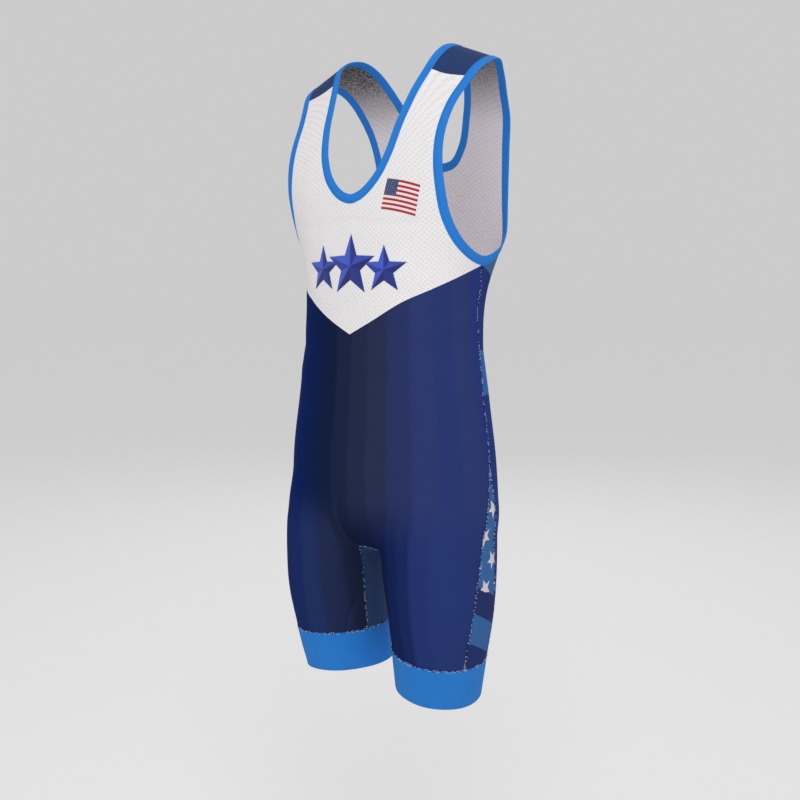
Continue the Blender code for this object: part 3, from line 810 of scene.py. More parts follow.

# %% [markdown]
# ## The navy print, with painted shade and sheen
#
# The body is printed in broad vertical stripes of close tones, charcoal navy down the middle and royal
# navy towards the sides. The front's and the legs' tones also hold painted shade, darker and more
# saturated on the wearer's right and darkest between the legs, and a painted sheen that greys the
# wearer's left. On the body the stripes follow the girth, and across each leg they follow x. The back
# has its own. A colour ramp holds the tones: each is one row, at a girth or an x in millimetres, with a
# soft step between rows.

# %% Printed navy knit
GIRTH_MOST = 0.376  # half way round, at the middle of the back
# Girth in mm and tone: print with painted shade, darker on the wearer's right, and a painted sheen, greyer on
# the left
BODY_PRINT_AND_SHADE = [
    (-230, "#0c1f66"), (-180, "#082058"), (-140, "#062262"), (-108, "#041e5a"),
    (-76, "#0b1e4c"), (-50, "#0f1e40"), (-24, "#1b2645"), (4, "#242c4a"), (32, "#293152"),
    (62, "#2b3563"), (92, "#2e396e"), (122, "#2a3871"), (150, "#2e3b70"), (184, "#28397e"), (222, "#253478"),
]
# x in mm and tone: print with painted shade, darkest round the crotch, between the legs
LEG_PRINT_AND_SHADE = [
    (-230, "#0b2164"), (-165, "#0e2364"), (-140, "#122662"), (-118, "#182b63"), (-92, "#213162"),
    (-64, "#222d51"), (-38, "#1f2743"), (-16, "#101a38"), (12, "#0d1a40"), (40, "#0e1c4a"),
    (64, "#102258"), (86, "#19295e"), (106, "#253471"), (130, "#273873"),
]
BACK_TONES = [
    (-376, "#18286c"), (-330, "#14256b"), (-280, "#102269"), (-240, "#0c2066"), (-205, "#0a1f60"),
    (190, "#28397c"), (222, "#253478"), (262, "#213073"), (300, "#1d2d70"), (334, "#1a2a6d"),
    (362, "#18286c"),
]
BACK_BAR = (-0.463, -0.403, "#3a66ac")  # the lower and upper edge of the bright bar, and its colour
STEP = 3  # half of a soft step between two stripes, in millimetres
LEGS_FROM_Z, LEGS_TO_Z = -0.590, -0.672  # the body's tones give way to the legs' between these heights


def tonal_stripes(tree, tones, place):
    """The tone at each place across: flat across a stripe, with a soft step to the next."""
    ends = {"Value": place, "From Min": -GIRTH_MOST, "From Max": GIRTH_MOST}
    ramp = add(tree, "ShaderNodeValToRGB", {"Fac": add(tree, "ShaderNodeMapRange", ends)})
    stops = ramp.color_ramp.elements
    stops[0].position, stops[0].color = 0, (*linear(tones[0][1]), 1)
    stops[-1].position, stops[-1].color = 1, (*linear(tones[-1][1]), 1)
    for (at, tone), (_, before) in zip(tones[1:], tones[:-1]):
        for place_mm, colour in ((at - STEP, before), (at + STEP, tone)):
            stop = stops.new((place_mm / MM + GIRTH_MOST) / (2 * GIRTH_MOST))
            stop.color = (*linear(colour), 1)
    return ramp


def printed_navy(name, tones, leg_tones=None, bar=None):
    """Dense knit with tonal stripes round the body.

    The front's stripes give way to stripes across each leg, and the back has one bright bar between
    two heights.
    """
    made, tree, where = fabric(name, sheen=0.0, specular=0.04)
    place = object_place(tree)
    round_body = add(tree, "ShaderNodeSeparateXYZ", {0: where}).outputs["X"]
    colour = tonal_stripes(tree, tones, round_body)
    if leg_tones is not None:
        heights = {"Value": place["Z"], "From Min": LEGS_FROM_Z, "From Max": LEGS_TO_Z}
        on_leg = add(tree, "ShaderNodeMapRange", heights, interpolation_type="SMOOTHSTEP")
        both = {"Factor": on_leg, "A": colour, "B": tonal_stripes(tree, leg_tones, place["X"])}
        colour = add(tree, "ShaderNodeMix", both, data_type="VECTOR")
    if bar is not None:
        low, high, hex_colour = bar
        between_edges = {0: place["Z"], 1: (low + high) / 2, 2: (high - low) / 2}
        inside = add(tree, "ShaderNodeMath", between_edges, operation="COMPARE")
        barred = {"Factor": inside, "A": colour, "B": linear(hex_colour)}
        colour = add(tree, "ShaderNodeMix", barred, data_type="VECTOR")
    wave = knit_lines(tree, where)
    clouds, grain = mottled(tree, 0.02), mottled(tree, 0.003)
    colour = shaded(tree, colour, (wave, 0, 0.05), (clouds, 0.5, 0.12), (grain, 0.5, 0.10))
    finish(tree, colour, wave, depth=0.0003)
    return made


NAVY_FRONT = printed_navy("printed navy knit", BODY_PRINT_AND_SHADE, leg_tones=LEG_PRINT_AND_SHADE)
NAVY_BACK = printed_navy("printed navy knit with a bar", BACK_TONES, bar=BACK_BAR)
print("Stripes:", len(BODY_PRINT_AND_SHADE), "on the body,", len(LEG_PRINT_AND_SHADE), "on the legs,", len(BACK_TONES), "behind")

# %% [markdown]
# ## The side panel's print
#
# Down each thigh runs a wedge printed like bunting: pale stars scattered on steel blue, then bands of
# navy and blue that slope down towards the back. A star of five points is worked out from the angle: fold
# the turn into one fifth, mirror it, and the star's edge is then one straight line.

# %% Star print
STAR_PITCH = 0.038  # between stars of a row
ROW_PITCH = 0.035
STAR_REACH = 0.0138  # from a star's middle to its tips
STAR_WAIST = 0.42  # distance of an inner corner from the middle, as a share of a tip's
STAR_TILT = 1.3  # each row's stars are turned this much further than the row's below, in radians
STAR_COLOUR = "#d8d2d8"
BAND_SLOPE = 0.55
SIDE_BANDS = [(-1.1, "#25336a"), (-0.815, "#39659f"), (-0.772, "#293366"), (-0.733, "#3c68a2")]


def star_field(tree, across, up):
    """1 inside stars that stand on a staggered lattice, 0 elsewhere.

    Every other row is moved by half a pitch, and each point is measured from the middle of its own cell.
    With the turn folded to a, from 0 at a tip to 36 degrees at an inner corner, a point at distance r is
    inside where r cos(a - b) < R cos(b), with b the angle of the edge's own perpendicular.
    """
    rows = add(tree, "ShaderNodeMath", {0: up, 1: ROW_PITCH}, operation="DIVIDE")
    row = add(tree, "ShaderNodeMath", {0: rows}, operation="FLOOR")
    moved = add(tree, "ShaderNodeMath", {0: row, 1: STAR_PITCH / 2, 2: across}, operation="MULTIPLY_ADD")
    high = add(tree, "ShaderNodeMath", {0: up, 1: ROW_PITCH / 2}, operation="SUBTRACT")
    place = add(tree, "ShaderNodeCombineXYZ", {"X": moved, "Y": high})
    half_cell = np.array([STAR_PITCH / 2, ROW_PITCH / 2, 1])
    limits = {0: place, 1: half_cell.tolist(), 2: (-half_cell).tolist()}
    own = add(tree, "ShaderNodeVectorMath", limits, operation="WRAP")
    radius = add(tree, "ShaderNodeVectorMath", {0: own}, operation="LENGTH")
    parts = add(tree, "ShaderNodeSeparateXYZ", {0: own}).outputs
    turn = add(tree, "ShaderNodeMath", {0: parts["X"], 1: parts["Y"]}, operation="ARCTAN2")
    turned = add(tree, "ShaderNodeMath", {0: row, 1: STAR_TILT, 2: turn}, operation="MULTIPLY_ADD")
    folded = add(tree, "ShaderNodeMath", {0: turned, 1: np.pi / 5}, operation="PINGPONG")
    inner_corner = STAR_WAIST * np.array([np.sin(np.pi / 5), np.cos(np.pi / 5)])
    perpendicular = np.arctan2(1 - inner_corner[1], inner_corner[0])
    lean = add(tree, "ShaderNodeMath", {0: folded, 1: perpendicular}, operation="SUBTRACT")
    cosine = add(tree, "ShaderNodeMath", {0: lean}, operation="COSINE")
    reached = add(tree, "ShaderNodeMath", {0: radius, 1: cosine}, operation="MULTIPLY")
    limit = STAR_REACH * np.cos(perpendicular)
    return add(tree, "ShaderNodeMath", {0: reached, 1: limit}, operation="LESS_THAN")


def side_print(name):
    """Stars on steel blue above, and bands below. The ramp's share runs over the bands' heights."""
    made, tree, where = fabric(name, sheen=0.0, specular=0.05)
    place = object_place(tree)
    tilted = {0: place["Y"], 1: BAND_SLOPE, 2: place["Z"]}
    sloped = add(tree, "ShaderNodeMath", tilted, operation="MULTIPLY_ADD")
    low, high = SIDE_BANDS[0][0], 0
    share = add(tree, "ShaderNodeMapRange", {"Value": sloped, "From Min": low, "From Max": high})
    ramp = add(tree, "ShaderNodeValToRGB", {"Fac": share})
    ramp.color_ramp.interpolation = "CONSTANT"
    stops = ramp.color_ramp.elements
    stops.remove(stops[-1])
    stops[0].color = (*linear(SIDE_BANDS[0][1]), 1)
    for height, hex_colour in SIDE_BANDS[1:]:
        stops.new((height - low) / (high - low)).color = (*linear(hex_colour), 1)
    starry = add(tree, "ShaderNodeMath", {0: sloped, 1: SIDE_BANDS[-1][0]}, operation="GREATER_THAN")
    star = star_field(tree, place["Y"], place["Z"])
    seen = add(tree, "ShaderNodeMath", {0: star, 1: starry}, operation="MULTIPLY")
    printed = {"Factor": seen, "A": ramp, "B": linear(STAR_COLOUR)}
    colour = add(tree, "ShaderNodeMix", printed, data_type="VECTOR")
    wave = knit_lines(tree, where)
    colour = shaded(tree, colour, (wave, 0, 0.05), (mottled(tree, 0.02), 0.5, 0.10))
    finish(tree, colour, wave, depth=0.0003)
    return made


SIDE_PRINT = side_print("printed side knit")
print("Side print:", len(SIDE_BANDS), "grounds, stars every", MM * STAR_PITCH, "by", MM * ROW_PITCH, "mm")

# %% [markdown]
# ## The cloth panels
#
# Each panel replaces its solid. The wall is 1.2 mm, as in the solid: the printed face outside and the
# plain back inside. A panel that is one of a pair is made for the left and mirrored.


def dresses(piece, node):
    """The piece rides the one rigid body in place of its solid, which is hidden."""
    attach(piece, "root")
    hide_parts(node)


def panel(name, node, grid, sides, outside_cloth, whole=False):
    """One cloth panel on its solid's form. A whole one is both mirrored halves, merged down the middle."""
    shaped = relief(grid, sides)
    if whole:
        shaped[np.abs(grid[..., 0]) < MERGE, 0] = 0
    rows, columns = grid.shape[:2]
    faces = cells(rows, columns)
    where = cloth_coordinates(grid)
    if whole:
        faces = np.concatenate([faces, faces[:, ::-1] + rows * columns])
        shaped = np.concatenate([shaped, mirrored(shaped)])
        where = np.concatenate([where, where * np.array([-1, 1])])
    piece = new_piece(name, shaped, faces.tolist(), [outside_cloth, PLAIN_BACK], where)
    tidy_shell(piece, WALL)
    dresses(piece, node)


def pair(name, node, grid, sides, outside_cloth):
    panel(f"{name}_left", f"{node}_left", grid, sides, outside_cloth)
    panel(f"{name}_right", f"{node}_right", mirrored(grid), sides, outside_cloth)


panel("chest_cloth", "front_chest", grids["chest"], (), WHITE_MESH, whole=True)
panel("upper_back_cloth", "back_upper", grids["upper_back"], (), STEEL_MESH, whole=True)
panel("body_cloth", "front_body", grids["body"], ("outer", "last"), NAVY_FRONT, whole=True)
panel("seat_cloth", "back_lower", grids["seat"], ("outer", "last"), NAVY_BACK, whole=True)
panel(
    "gusset_cloth", "inseam_gusset", grids["gusset"], ("inner", "outer", "last"), GUSSET_KNIT,
    whole=True,
)
pair("shoulder_cloth", "shoulder_patch", grids["patch"], (), YOKE_KNIT)
pair("side_cloth", "side_panel", grids["wedge"], ("inner", "outer", "last"), SIDE_PRINT)

# %% [markdown]
# ## Bindings and leg bands
#
# A binding is a strip folded over the raw edge, so its section is a flat loop with round ends: proud of
# the cloth outside and inside, and a little over the cloth's edge. A leg band is a deep tube, turned up
# at the hem. Both are one section carried along a closed line on the figure.

# %% Folded strips
BINDING_WIDTH = 0.012
BINDING_INSIDE, BINDING_OUTSIDE = -0.0007, 0.0019  # its two faces, measured outwards from the figure
LAP = 0.0008  # how far a binding reaches over the cloth
NECK_CENTRE = np.array([0, 0, -0.02])  # the middles of the holes, which tell on what side a binding lies
ARM_CENTRE = np.array([0.18, 0, -0.17])


def folded_section(width, inside, outward, lap, squareness=3.2, points=28):
    """A flat loop: a superellipse from -lap to width across, and from inside to outward in thickness."""
    turn = np.linspace(0, 2 * np.pi, points, endpoint=False)
    power = 2 / squareness
    c, s = np.cos(turn), np.sin(turn)
    across = (width - lap) / 2 + (width + lap) / 2 * np.sign(c) * np.abs(c) ** power
    thick = (outward + inside) / 2 + (outward - inside) / 2 * np.sign(s) * np.abs(s) ** power
    return across, thick


def carried(place, section):
    """The section's points on the figure. place(across) gives the line at that distance into the strip."""
    lines = []
    for across, thick in zip(*section):
        line = place(across)
        lines.append(line + thick * unit(uphill(line)))
    return np.stack(lines)


def edge_line(loop, hole_centre):
    """A function that gives the line at a distance from the seam loop, towards the hole that it edges."""
    tangent = np.roll(loop, -1, axis=0) - np.roll(loop, 1, axis=0)
    into = unit(np.cross(tangent, uphill(loop)))
    into *= np.sign((into * (hole_centre - loop)).sum(1, keepdims=True))
    return lambda across: seated(loop + across * into, turns=4)


def tube(name, node, grid, cloth_material, coordinates):
    """A closed strip: the section is closed too, so the last row joins the first."""
    rows, columns = grid.shape[:2]
    faces = cells(rows + 1, columns, closed=True) % (rows * columns)
    piece = new_piece(name, grid, faces.tolist(), [cloth_material], coordinates)
    shape = bmesh.new()
    shape.from_mesh(piece.data)
    bmesh.ops.recalc_face_normals(shape, faces=shape.faces)
    shape.to_mesh(piece.data)
    shape.free()
    dresses(piece, node)


def strip_coordinates(grid):
    """Across the section, and along the loop, in metres."""
    return np.stack(runs(grid), -1)


half_neck = joined(neck_front, neck_shoulder, neck_back)
neck_loop = np.concatenate([half_neck, mirrored(half_neck)[-2:0:-1]])[::2]
arm_loop = joined(arm_front, arm_shoulder, arm_back)[:-1][::2]
binding_section = folded_section(BINDING_WIDTH, BINDING_INSIDE, BINDING_OUTSIDE, LAP)
neck_edge, arm_edge = edge_line(neck_loop, NECK_CENTRE), edge_line(arm_loop, ARM_CENTRE)
neck_strip, arm_strip = carried(neck_edge, binding_section), carried(arm_edge, binding_section)
tube("neck_edging", "neck_binding", neck_strip, BINDING_KNIT, strip_coordinates(neck_strip))
for side, strip in (("left", arm_strip), ("right", mirrored(arm_strip))):
    where = strip_coordinates(strip)
    tube(f"armhole_edging_{side}", f"armhole_binding_{side}", strip, BINDING_KNIT, where)

# %% Leg bands
BAND_WAVES = 0.0004
BAND_THICK = WALL + 0.0003
BAND_TURN = np.linspace(AT_INSEAM_FRONT, AT_INSEAM_FRONT + 360, 225)
turns = BAND_TURN[:-1]
band_depth = LEG_BAND_SEAM_Z - HEM_Z
band_section = folded_section(band_depth, 0.0, BAND_THICK, 0.0, squareness=9, points=96)


def leg_line(across):
    """The ring round the thigh this far below the seam, with the hem waved very slightly."""
    line = ring(turns, LEG_BAND_SEAM_Z - across)
    around = np.radians(turns)
    wave = BAND_WAVES * (across / band_depth) * np.sin(5 * around + 1) * np.sin(2 * around)
    return line + wave[:, None] * unit(uphill(line))


band_strip = carried(leg_line, band_section)
for side, strip in (("left", band_strip), ("right", mirrored(band_strip))):
    where = strip_coordinates(strip)[..., ::-1]
    tube(f"leg_band_cloth_{side}", f"leg_band_{side}", strip, BAND_KNIT, where)

# %% [markdown]
# ## Prints on the chest
#
# Two things lie on the white mesh: a country's flag on the wearer's left, and a row of bevelled stars
# across the middle. Each is worked out flat, in millimetres right and up from its own middle, and then
# laid on the chest: every point keeps its x and z, and its y is found on the front of the figure.

# %% Laying a flat print on the chest
PRINT_LIFT = 0.00012
CHEST_Y = -0.09  # where the search for the front's surface starts
LEAST_SLOPE = -0.2  # a Newton step never takes the front as more edge-on than this


def on_chest(x, z, lift):
    """The point of the front at this x and z, by Newton steps in y alone, lifted off the cloth."""
    points = np.stack([x, np.full(x.shape, CHEST_Y), z], -1)
    for _ in range(12):
        points[..., 1] -= outside(points) / np.minimum(uphill(points)[..., 1], LEAST_SLOPE)
    points = points - creased(points)[..., None] * unit(uphill(points))
    return points + (WALL + np.asarray(lift))[..., None] * unit(uphill(points))


def laid(right, up, centre, turned, lift):
    """A flat print in millimetres, turned by some degrees about its middle, on the chest."""
    turn = np.radians(turned)
    x = centre[0] + right * np.cos(turn) - up * np.sin(turn)
    z = centre[1] + right * np.sin(turn) + up * np.cos(turn)
    return on_chest(x / MM, z / MM, lift)


# %% Flag
FLAG_SIZE = 49.5, 39
FLAG_CENTRE, FLAG_TURNED = (81, -205.5), -12.5
FLAG_BOW = 1.3  # its two ends hang this much lower than its middle, in millimetres
FLAG_POINTS = 70, 53
STRIPES = 13
CANTON = 18.6, 20.5
CANTON_COLUMNS, CANTON_ROWS = 6, 9  # every second row has one star fewer
CANTON_STAR = 0.62  # radius of a star, in millimetres
STAR_CORNERS = 10


def flag_cloth():
    """Flexible transfer: woven red and white stripes, and a blue canton, placed by the print's own UV."""
    made, tree, where = fabric("woven flag transfer", roughness=0.7)
    parts = add(tree, "ShaderNodeSeparateXYZ", {0: where}).outputs
    per_stripe = MM * STRIPES / FLAG_SIZE[1]
    down = add(tree, "ShaderNodeMath", {0: parts["Y"], 1: per_stripe}, operation="MULTIPLY")
    number = add(tree, "ShaderNodeMath", {0: down}, operation="FLOOR")
    odd = add(tree, "ShaderNodeMath", {0: number, 1: 2}, operation="MODULO")
    left = add(tree, "ShaderNodeMath", {0: parts["X"], 1: CANTON[0] / MM}, operation="LESS_THAN")
    canton_foot = (FLAG_SIZE[1] - CANTON[1]) / MM
    high = add(tree, "ShaderNodeMath", {0: parts["Y"], 1: canton_foot}, operation="GREATER_THAN")
    in_canton = add(tree, "ShaderNodeMath", {0: left, 1: high}, operation="MULTIPLY")
    striped = {"Factor": odd, "A": linear("#b3303c"), "B": linear("#ece6e7")}
    stripes = add(tree, "ShaderNodeMix", striped, data_type="VECTOR")
    whole_flag = {"Factor": in_canton, "A": stripes, "B": linear("#3b4872")}
    colour = add(tree, "ShaderNodeMix", whole_flag, data_type="VECTOR")
    wave = knit_lines(tree, where, 0.0016, 38)
    colour = shaded(tree, colour, (wave, 0, 0.06), (mottled(tree, 0.004), 0.5, 0.12))
    finish(tree, colour, wave, depth=0.0002)
    return made


def on_flag(right, up, lift):
    """A place of the flag, in millimetres from its middle, on the chest. Its two ends hang a little."""
    hung = up - FLAG_BOW * (2 * right / FLAG_SIZE[0]) ** 2
    return laid(right, hung, FLAG_CENTRE, FLAG_TURNED, np.full(up.shape, lift))


def star_outline():
    """Outline of a five-pointed star of radius 1, tip up: right and up for each corner."""
    corner = np.arange(STAR_CORNERS)
    turn = corner * 2 * np.pi / STAR_CORNERS
    reach = np.where(corner % 2 == 0, 1, STAR_WAIST)
    return reach * np.sin(turn), reach * np.cos(turn)


across, up = np.meshgrid(*(np.linspace(0, 1, count) for count in FLAG_POINTS))
flag_points = on_flag((across - 0.5) * FLAG_SIZE[0], (up - 0.5) * FLAG_SIZE[1], PRINT_LIFT)
flag_uv = np.stack([across * FLAG_SIZE[0], up * FLAG_SIZE[1]], -1) / MM
flag = new_piece("flag_transfer", flag_points, cells(*up.shape).tolist(), [flag_cloth()], flag_uv)

# %% Stars of the canton, each a fan of triangles round its middle
star_right, star_up = star_outline()
places = [
    (
        CANTON[0] * (column + 0.5 + 0.5 * (row % 2)) / CANTON_COLUMNS,
        CANTON[1] * (row + 0.5) / CANTON_ROWS,
    )
    for row in range(CANTON_ROWS)
    for column in range(CANTON_COLUMNS - row % 2)
]
middles = np.array(places) - np.array([FLAG_SIZE[0] / 2, CANTON[1] - FLAG_SIZE[1] / 2])
canton_right = np.concatenate([[0], CANTON_STAR * star_right])[None] + middles[:, :1]
canton_up = np.concatenate([[0], CANTON_STAR * star_up])[None] + middles[:, 1:]
fan = np.array([(0, k + 1, (k + 1) % STAR_CORNERS + 1) for k in range(STAR_CORNERS)])
canton_faces = fan[None] + (STAR_CORNERS + 1) * np.arange(len(middles))[:, None, None]
STAR_THREAD = dense_knit("pale star thread", "#c9c7d6", lines=0.0)
canton_stars = new_piece(
    "flag_stars",
    on_flag(canton_right, canton_up, 2 * PRINT_LIFT),
    canton_faces.reshape(-1, 3).tolist(),
    [STAR_THREAD],
    np.stack([canton_right, canton_up], -1) / MM,
)
print("Flag:", STRIPES, "stripes and", len(middles), "stars")

# %% [markdown]
# ## Bevelled stars
#
# The row on the chest is raised like a moulded transfer: each star rises from its edge to a ridge along
# every arm, which gives ten flat facets. A printed bevel adds its own light, from the upper left, so a
# facet's tone is its slope's direction against that light. The surface is a polar grid: turn, and share
# of the way from the middle to the outline.

# %% Bevelled stars
STAR_ROW = [(-50, -297, 32), (3, -293, 42), (57, -298, 32)]  # centre x, centre z, radius, in millimetres
STAR_RISE = 1.5
RIM_RISE = 0.5
FACET_TONES = ("#14206b", "#1b2c86", "#23389e", "#2d46b4", "#3c58c6")
PRINTED_LIGHT = np.radians(-40)


def facet_material(hex_colour, step):
    """Smooth raised print, a little glossy, in one tone of the printed bevel."""
    made, tree, _ = fabric(f"raised royal transfer, tone {step}", roughness=0.45, sheen=0.05, specular=0.45)
    colour = shaded(tree, linear(hex_colour), (mottled(tree, 0.012), 0.5, 0.16))
    finish(tree, colour, mottled(tree, 0.0015), depth=0.0001)
    return made


FACETS = [facet_material(tone, step) for step, tone in enumerate(FACET_TONES)]


def bevelled_star(name, centre_x, centre_z, radius, cells_out=12, cells_round=8):
    """Ten facets, each a fan of cells from the middle to one straight edge of the outline."""
    corner_right, corner_up = star_outline()
    faces, points, tones, count = [], [], [], 0
    out = np.linspace(0, 1, cells_out + 1)[:, None]
    along_edge = np.linspace(0, 1, cells_round + 1)[None]
    for k in range(STAR_CORNERS):
        ends = [np.array([corner_right[j], corner_up[j]]) for j in (k, (k + 1) % STAR_CORNERS)]
        edge = ends[0][:, None, None] * (1 - along_edge) + ends[1][:, None, None] * along_edge
        right, up = radius * out * edge
        rise = RIM_RISE + (STAR_RISE - RIM_RISE) * (1 - out) * np.ones_like(along_edge)
        skirt = np.stack([right[-1], up[-1]])
        right, up = np.concatenate([right, skirt[:1]]), np.concatenate([up, skirt[1:]])
        rise = np.concatenate([rise, np.zeros((1, cells_round + 1))])
        side = ends[1] - ends[0]
        slope = np.array([-side[1], side[0]])
        slope *= np.sign(slope @ (ends[0] + ends[1]))
        light = slope @ np.array([np.sin(PRINTED_LIGHT), np.cos(PRINTED_LIGHT)]) / np.linalg.norm(slope)
        tone = int(round((light + 1) / 2 * (len(FACET_TONES) - 1)))
        points.append(laid(right, up, (centre_x, centre_z), 0, rise / MM).reshape(-1, 3))
        own = cells(*right.shape)
        faces.append(own + count)
        tones.append(np.full(len(own), tone))
        count += right.size
    everything = np.concatenate(points)
    piece = new_piece(name, everything, np.concatenate(faces).tolist(), FACETS, everything[:, [0, 2]])
    piece.data.polygons.foreach_set("material_index", np.concatenate(tones).astype(np.int32))
    tidy_shell(piece, sharp=8)
    return piece


stars = [bevelled_star(f"chest_star_{n + 1}", *row) for n, row in enumerate(STAR_ROW)]
for print_piece in (flag, canton_stars, *stars):
    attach(print_piece, "root")
tidy_shell(flag)
tidy_shell(canton_stars)

# %% [markdown]
# ## Stitching
#
# The panels of the body are joined by flatlock: a flat seam with loops of thread to and fro across the
# join, here in white, black and blue thread. Each loop is a short thread from one side to the other, bowed up
# off the cloth. The loops along a seam are one mesh from arrays: loops, rings of a loop, points of a
# ring. The bindings have plain straight stitches in their own blue.

# %% Stitches
RING_AT = np.array([0.0, 0.22, 0.5, 0.78, 1.0])
RING_SIZE = np.array([0.45, 1.0, 1.1, 1.0, 0.45])
THREAD_SIDES = 5
wander = np.random.default_rng(20)


def thread_mesh(starts, ends, outwards, thick, bow):
    """Points and faces of many short threads. Each follows its chord, lifted by bow sin(pi t)."""
    count, rings = len(starts), len(RING_AT)
    t = RING_AT[None, :, None]
    centres = starts[:, None] * (1 - t) + ends[:, None] * t + bow * np.sin(np.pi * t) * outwards[:, None]
    way = unit(ends - starts)
    aside = unit(np.cross(way, outwards))
    turn = np.arange(THREAD_SIDES) * 2 * np.pi / THREAD_SIDES
    cosine, sine = np.cos(turn)[None, None, :, None], np.sin(turn)[None, None, :, None]
    spread = cosine * aside[:, None, None] + sine * outwards[:, None, None]
    points = centres[:, :, None] + thick / 2 * RING_SIZE[None, :, None, None] * spread
    side = cells(rings, THREAD_SIDES, closed=True)
    each = rings * THREAD_SIDES
    offsets = np.arange(count)[:, None, None] * each
    quads = (side[None] + offsets).reshape(-1, 4)
    caps = np.stack([np.arange(THREAD_SIDES)[::-1], np.arange(THREAD_SIDES) + each - THREAD_SIDES])
    return points.reshape(-1, 3), quads.tolist() + (caps[None] + offsets).reshape(-1, THREAD_SIDES).tolist()


def spaced(line, step):
    """Points and directions at equal steps down a line."""
    at = along(line)
    marks = np.linspace(0, at[-1], max(2, int(at[-1] / step)))
    points = np.column_stack([np.interp(marks, at, line[:, k]) for k in range(3)])
    return points, unit(np.gradient(points, axis=0))


# %% Flatlock stitches
FLATLOCK_STEP, FLATLOCK_REACH, FLATLOCK_THREAD = 0.0014, 0.0019, 0.0007
FLATLOCK_LIFT, FLATLOCK_BOW = WALL + 0.0001, 0.0003
LOOP_STARTS, LOOP_BACK, LOOP_AHEAD = 0.35, 0.4, 0.6  # shares of the reach, of the step, of the step
WHITE_SHARE, DARK_SHARE = 0.36, 0.76  # of all loops: white up to the first, black up to the second


def flatlock(line):
    """Short loops, in turn on each side of a seam: their starts, ends and directions outwards."""
    points, ahead = spaced(line, FLATLOCK_STEP)
    outwards = unit(uphill(points))
    aside = np.cross(outwards, ahead)
    sway = np.where(np.arange(len(points)) % 2 == 0, 1, -1)[:, None] * aside
    reach = FLATLOCK_REACH * wander.uniform(0.5, 1.15, (len(points), 1))
    lift = FLATLOCK_LIFT * outwards
    starts = points + LOOP_STARTS * reach * sway - LOOP_BACK * FLATLOCK_STEP * ahead + lift
    ends = points + reach * sway + LOOP_AHEAD * FLATLOCK_STEP * ahead + lift
    return starts, ends, outwards


band_seam = ring(BAND_TURN, LEG_BAND_SEAM_Z)
left_seams = [side_seam, side_front, side_back, inseam_front, inseam_back, band_seam]
seam_lines = left_seams + [mirrored(line) for line in left_seams]
loops = [np.concatenate(parts) for parts in zip(*(flatlock(line) for line in seam_lines))]
choice = wander.random(len(loops[0]))
THREADS = {
    "white": (choice < WHITE_SHARE, "#d8d4d8"),
    "black": ((choice >= WHITE_SHARE) & (choice < DARK_SHARE), "#14161f"),
    "blue": (choice >= DARK_SHARE, "#3a5fa8"),
}
for colour_name, (chosen, hex_colour) in THREADS.items():
    points, faces = thread_mesh(*(part[chosen] for part in loops), FLATLOCK_THREAD, FLATLOCK_BOW)
    made, tree, _ = fabric(f"{colour_name} polyester thread", roughness=0.6)
    colour = shaded(tree, linear(hex_colour), (mottled(tree, 0.001), 0.5, 0.3))
    finish(tree, colour, mottled(tree, 0.0004), depth=0.0001)
    threads = new_piece(f"flatlock_{colour_name}", points, faces, [made])
    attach(threads, "root")
    print(threads.name, len(faces), "faces")

# %% Stitches of the bindings
STITCH_STEP, STITCH_THREAD, STITCH_BOW = 0.0034, 0.0006, 0.0002
STITCH_SHARE = 0.3  # a stitch reaches this share of a step to each side of its middle
STITCH_IN, STITCH_LIFT = 0.0024, 0.0018  # distance of the stitch line from the cloth, and out of the figure
BINDING_THREAD = dense_knit("blue binding thread", "#1f69bb", lines=0.0)


def straight_stitches(place):
    """A closed row of stitches end to end: their starts, ends and directions outwards."""
    line = place(STITCH_IN)
    points, ahead = spaced(np.concatenate([line, line[:1]]), STITCH_STEP)
    outwards = unit(uphill(points))
    half, lift = STITCH_SHARE * STITCH_STEP * ahead, STITCH_LIFT * outwards
    return points - half + lift, points + half + lift, outwards


neck_row, arm_row = straight_stitches(neck_edge), straight_stitches(arm_edge)
rows = [neck_row, arm_row, [mirrored(part) for part in arm_row]]
stitches = [np.concatenate(parts) for parts in zip(*rows)]
points, faces = thread_mesh(*stitches, STITCH_THREAD, STITCH_BOW)
binding_stitches = new_piece("binding_stitches", points, faces, [BINDING_THREAD])
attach(binding_stitches, "root")
print(binding_stitches.name, len(faces), "faces")
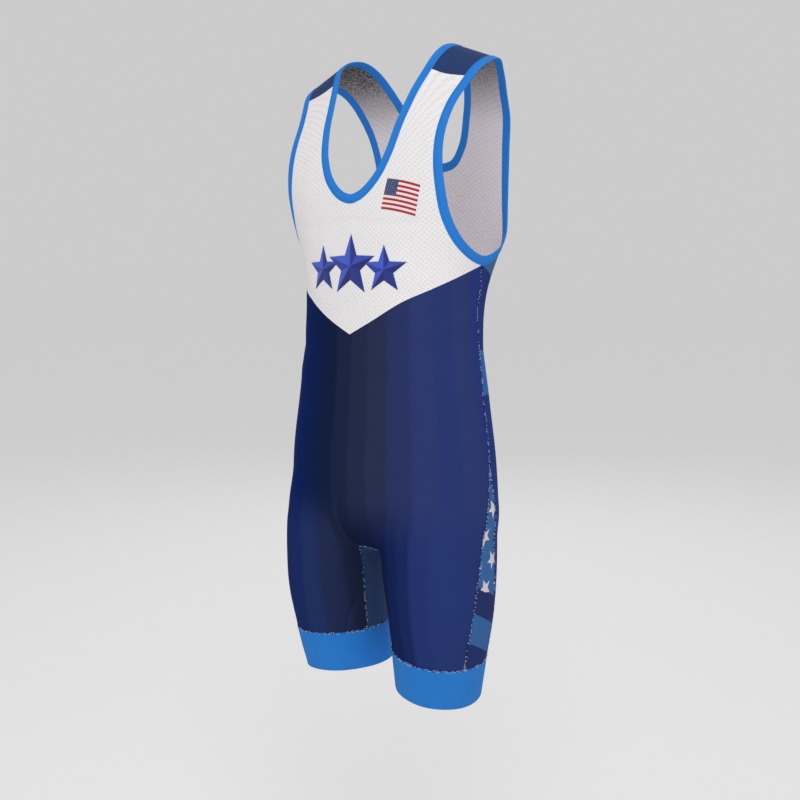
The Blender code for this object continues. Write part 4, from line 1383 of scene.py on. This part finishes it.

# %% [markdown]
# ## The cut
#
# A wrestling singlet is cut smaller than the wearer and stretches to fit, by about a tenth each way, so
# the flat size of each piece is its size here divided by that stretch. The code only works out each
# grid's distances down its columns and across its rows, and does not use them.


def declare(grid):
    """Works out the distances run down and across the grid, and does nothing more with them."""
    down, across = runs(grid)


for grid_name in ("chest", "upper_back", "body", "seat", "gusset"):
    declare(grids[grid_name])
declare(grids["patch"])
declare(grids["wedge"])


# %% [markdown]
# ## Floor and light
#
# The garment hangs at a wearer's height, with the floor 1.4 m under the shoulders. The light is a plain
# studio's: a pale room all round, two large soft lamps near the camera, and one behind.

# %% Floor, lights and world
FLOOR_Z, FLOOR_HALF = -1.40, 30
ROOM_LIGHT = 0.60
paper = bpy.data.materials.new("white studio paper")
paper.use_nodes = True
paper_shader = paper.node_tree.nodes["Principled BSDF"]
paper_shader.inputs["Base Color"].default_value = (1, 1, 1, 1)
paper_shader.inputs["Roughness"].default_value = 0.9
corners = [(x * FLOOR_HALF, y * FLOOR_HALF, FLOOR_Z) for x, y in ((-1, -1), (1, -1), (1, 1), (-1, 1))]
floor = new_piece("floor", np.array(corners), [(0, 1, 2, 3)], [paper])


def lamp(name, turn, height, distance, size, watts, shadows=True):
    """A square area lamp that looks at the middle of the garment."""
    data = bpy.data.lights.new(name, "AREA")
    data.size, data.energy, data.use_shadow = size, watts, shadows
    made = bpy.data.objects.new(name, data)
    turn, height = np.radians(turn), np.radians(height)
    way = Vector((np.sin(turn) * np.cos(height), -np.cos(turn) * np.cos(height), np.sin(height)))
    made.location = LOOKED_AT + distance * way
    made.rotation_euler = (-way).to_track_quat("-Z", "Y").to_euler()
    bpy.context.scene.collection.objects.link(made)


lamp("key lamp", turn=42, height=48, distance=3.0, size=1.6, watts=18)
lamp("fill lamp", turn=38, height=26, distance=3.0, size=1.6, watts=15, shadows=False)
lamp("back lamp", turn=215, height=35, distance=3.5, size=2.5, watts=14)
world = bpy.data.worlds.new("pale room")
world.use_nodes = True
world.node_tree.nodes["Background"].inputs["Color"].default_value = (1, 1, 1, 1)
world.node_tree.nodes["Background"].inputs["Strength"].default_value = ROOM_LIGHT
bpy.context.scene.world = world
bpy.context.scene.view_settings.view_transform = "Standard"
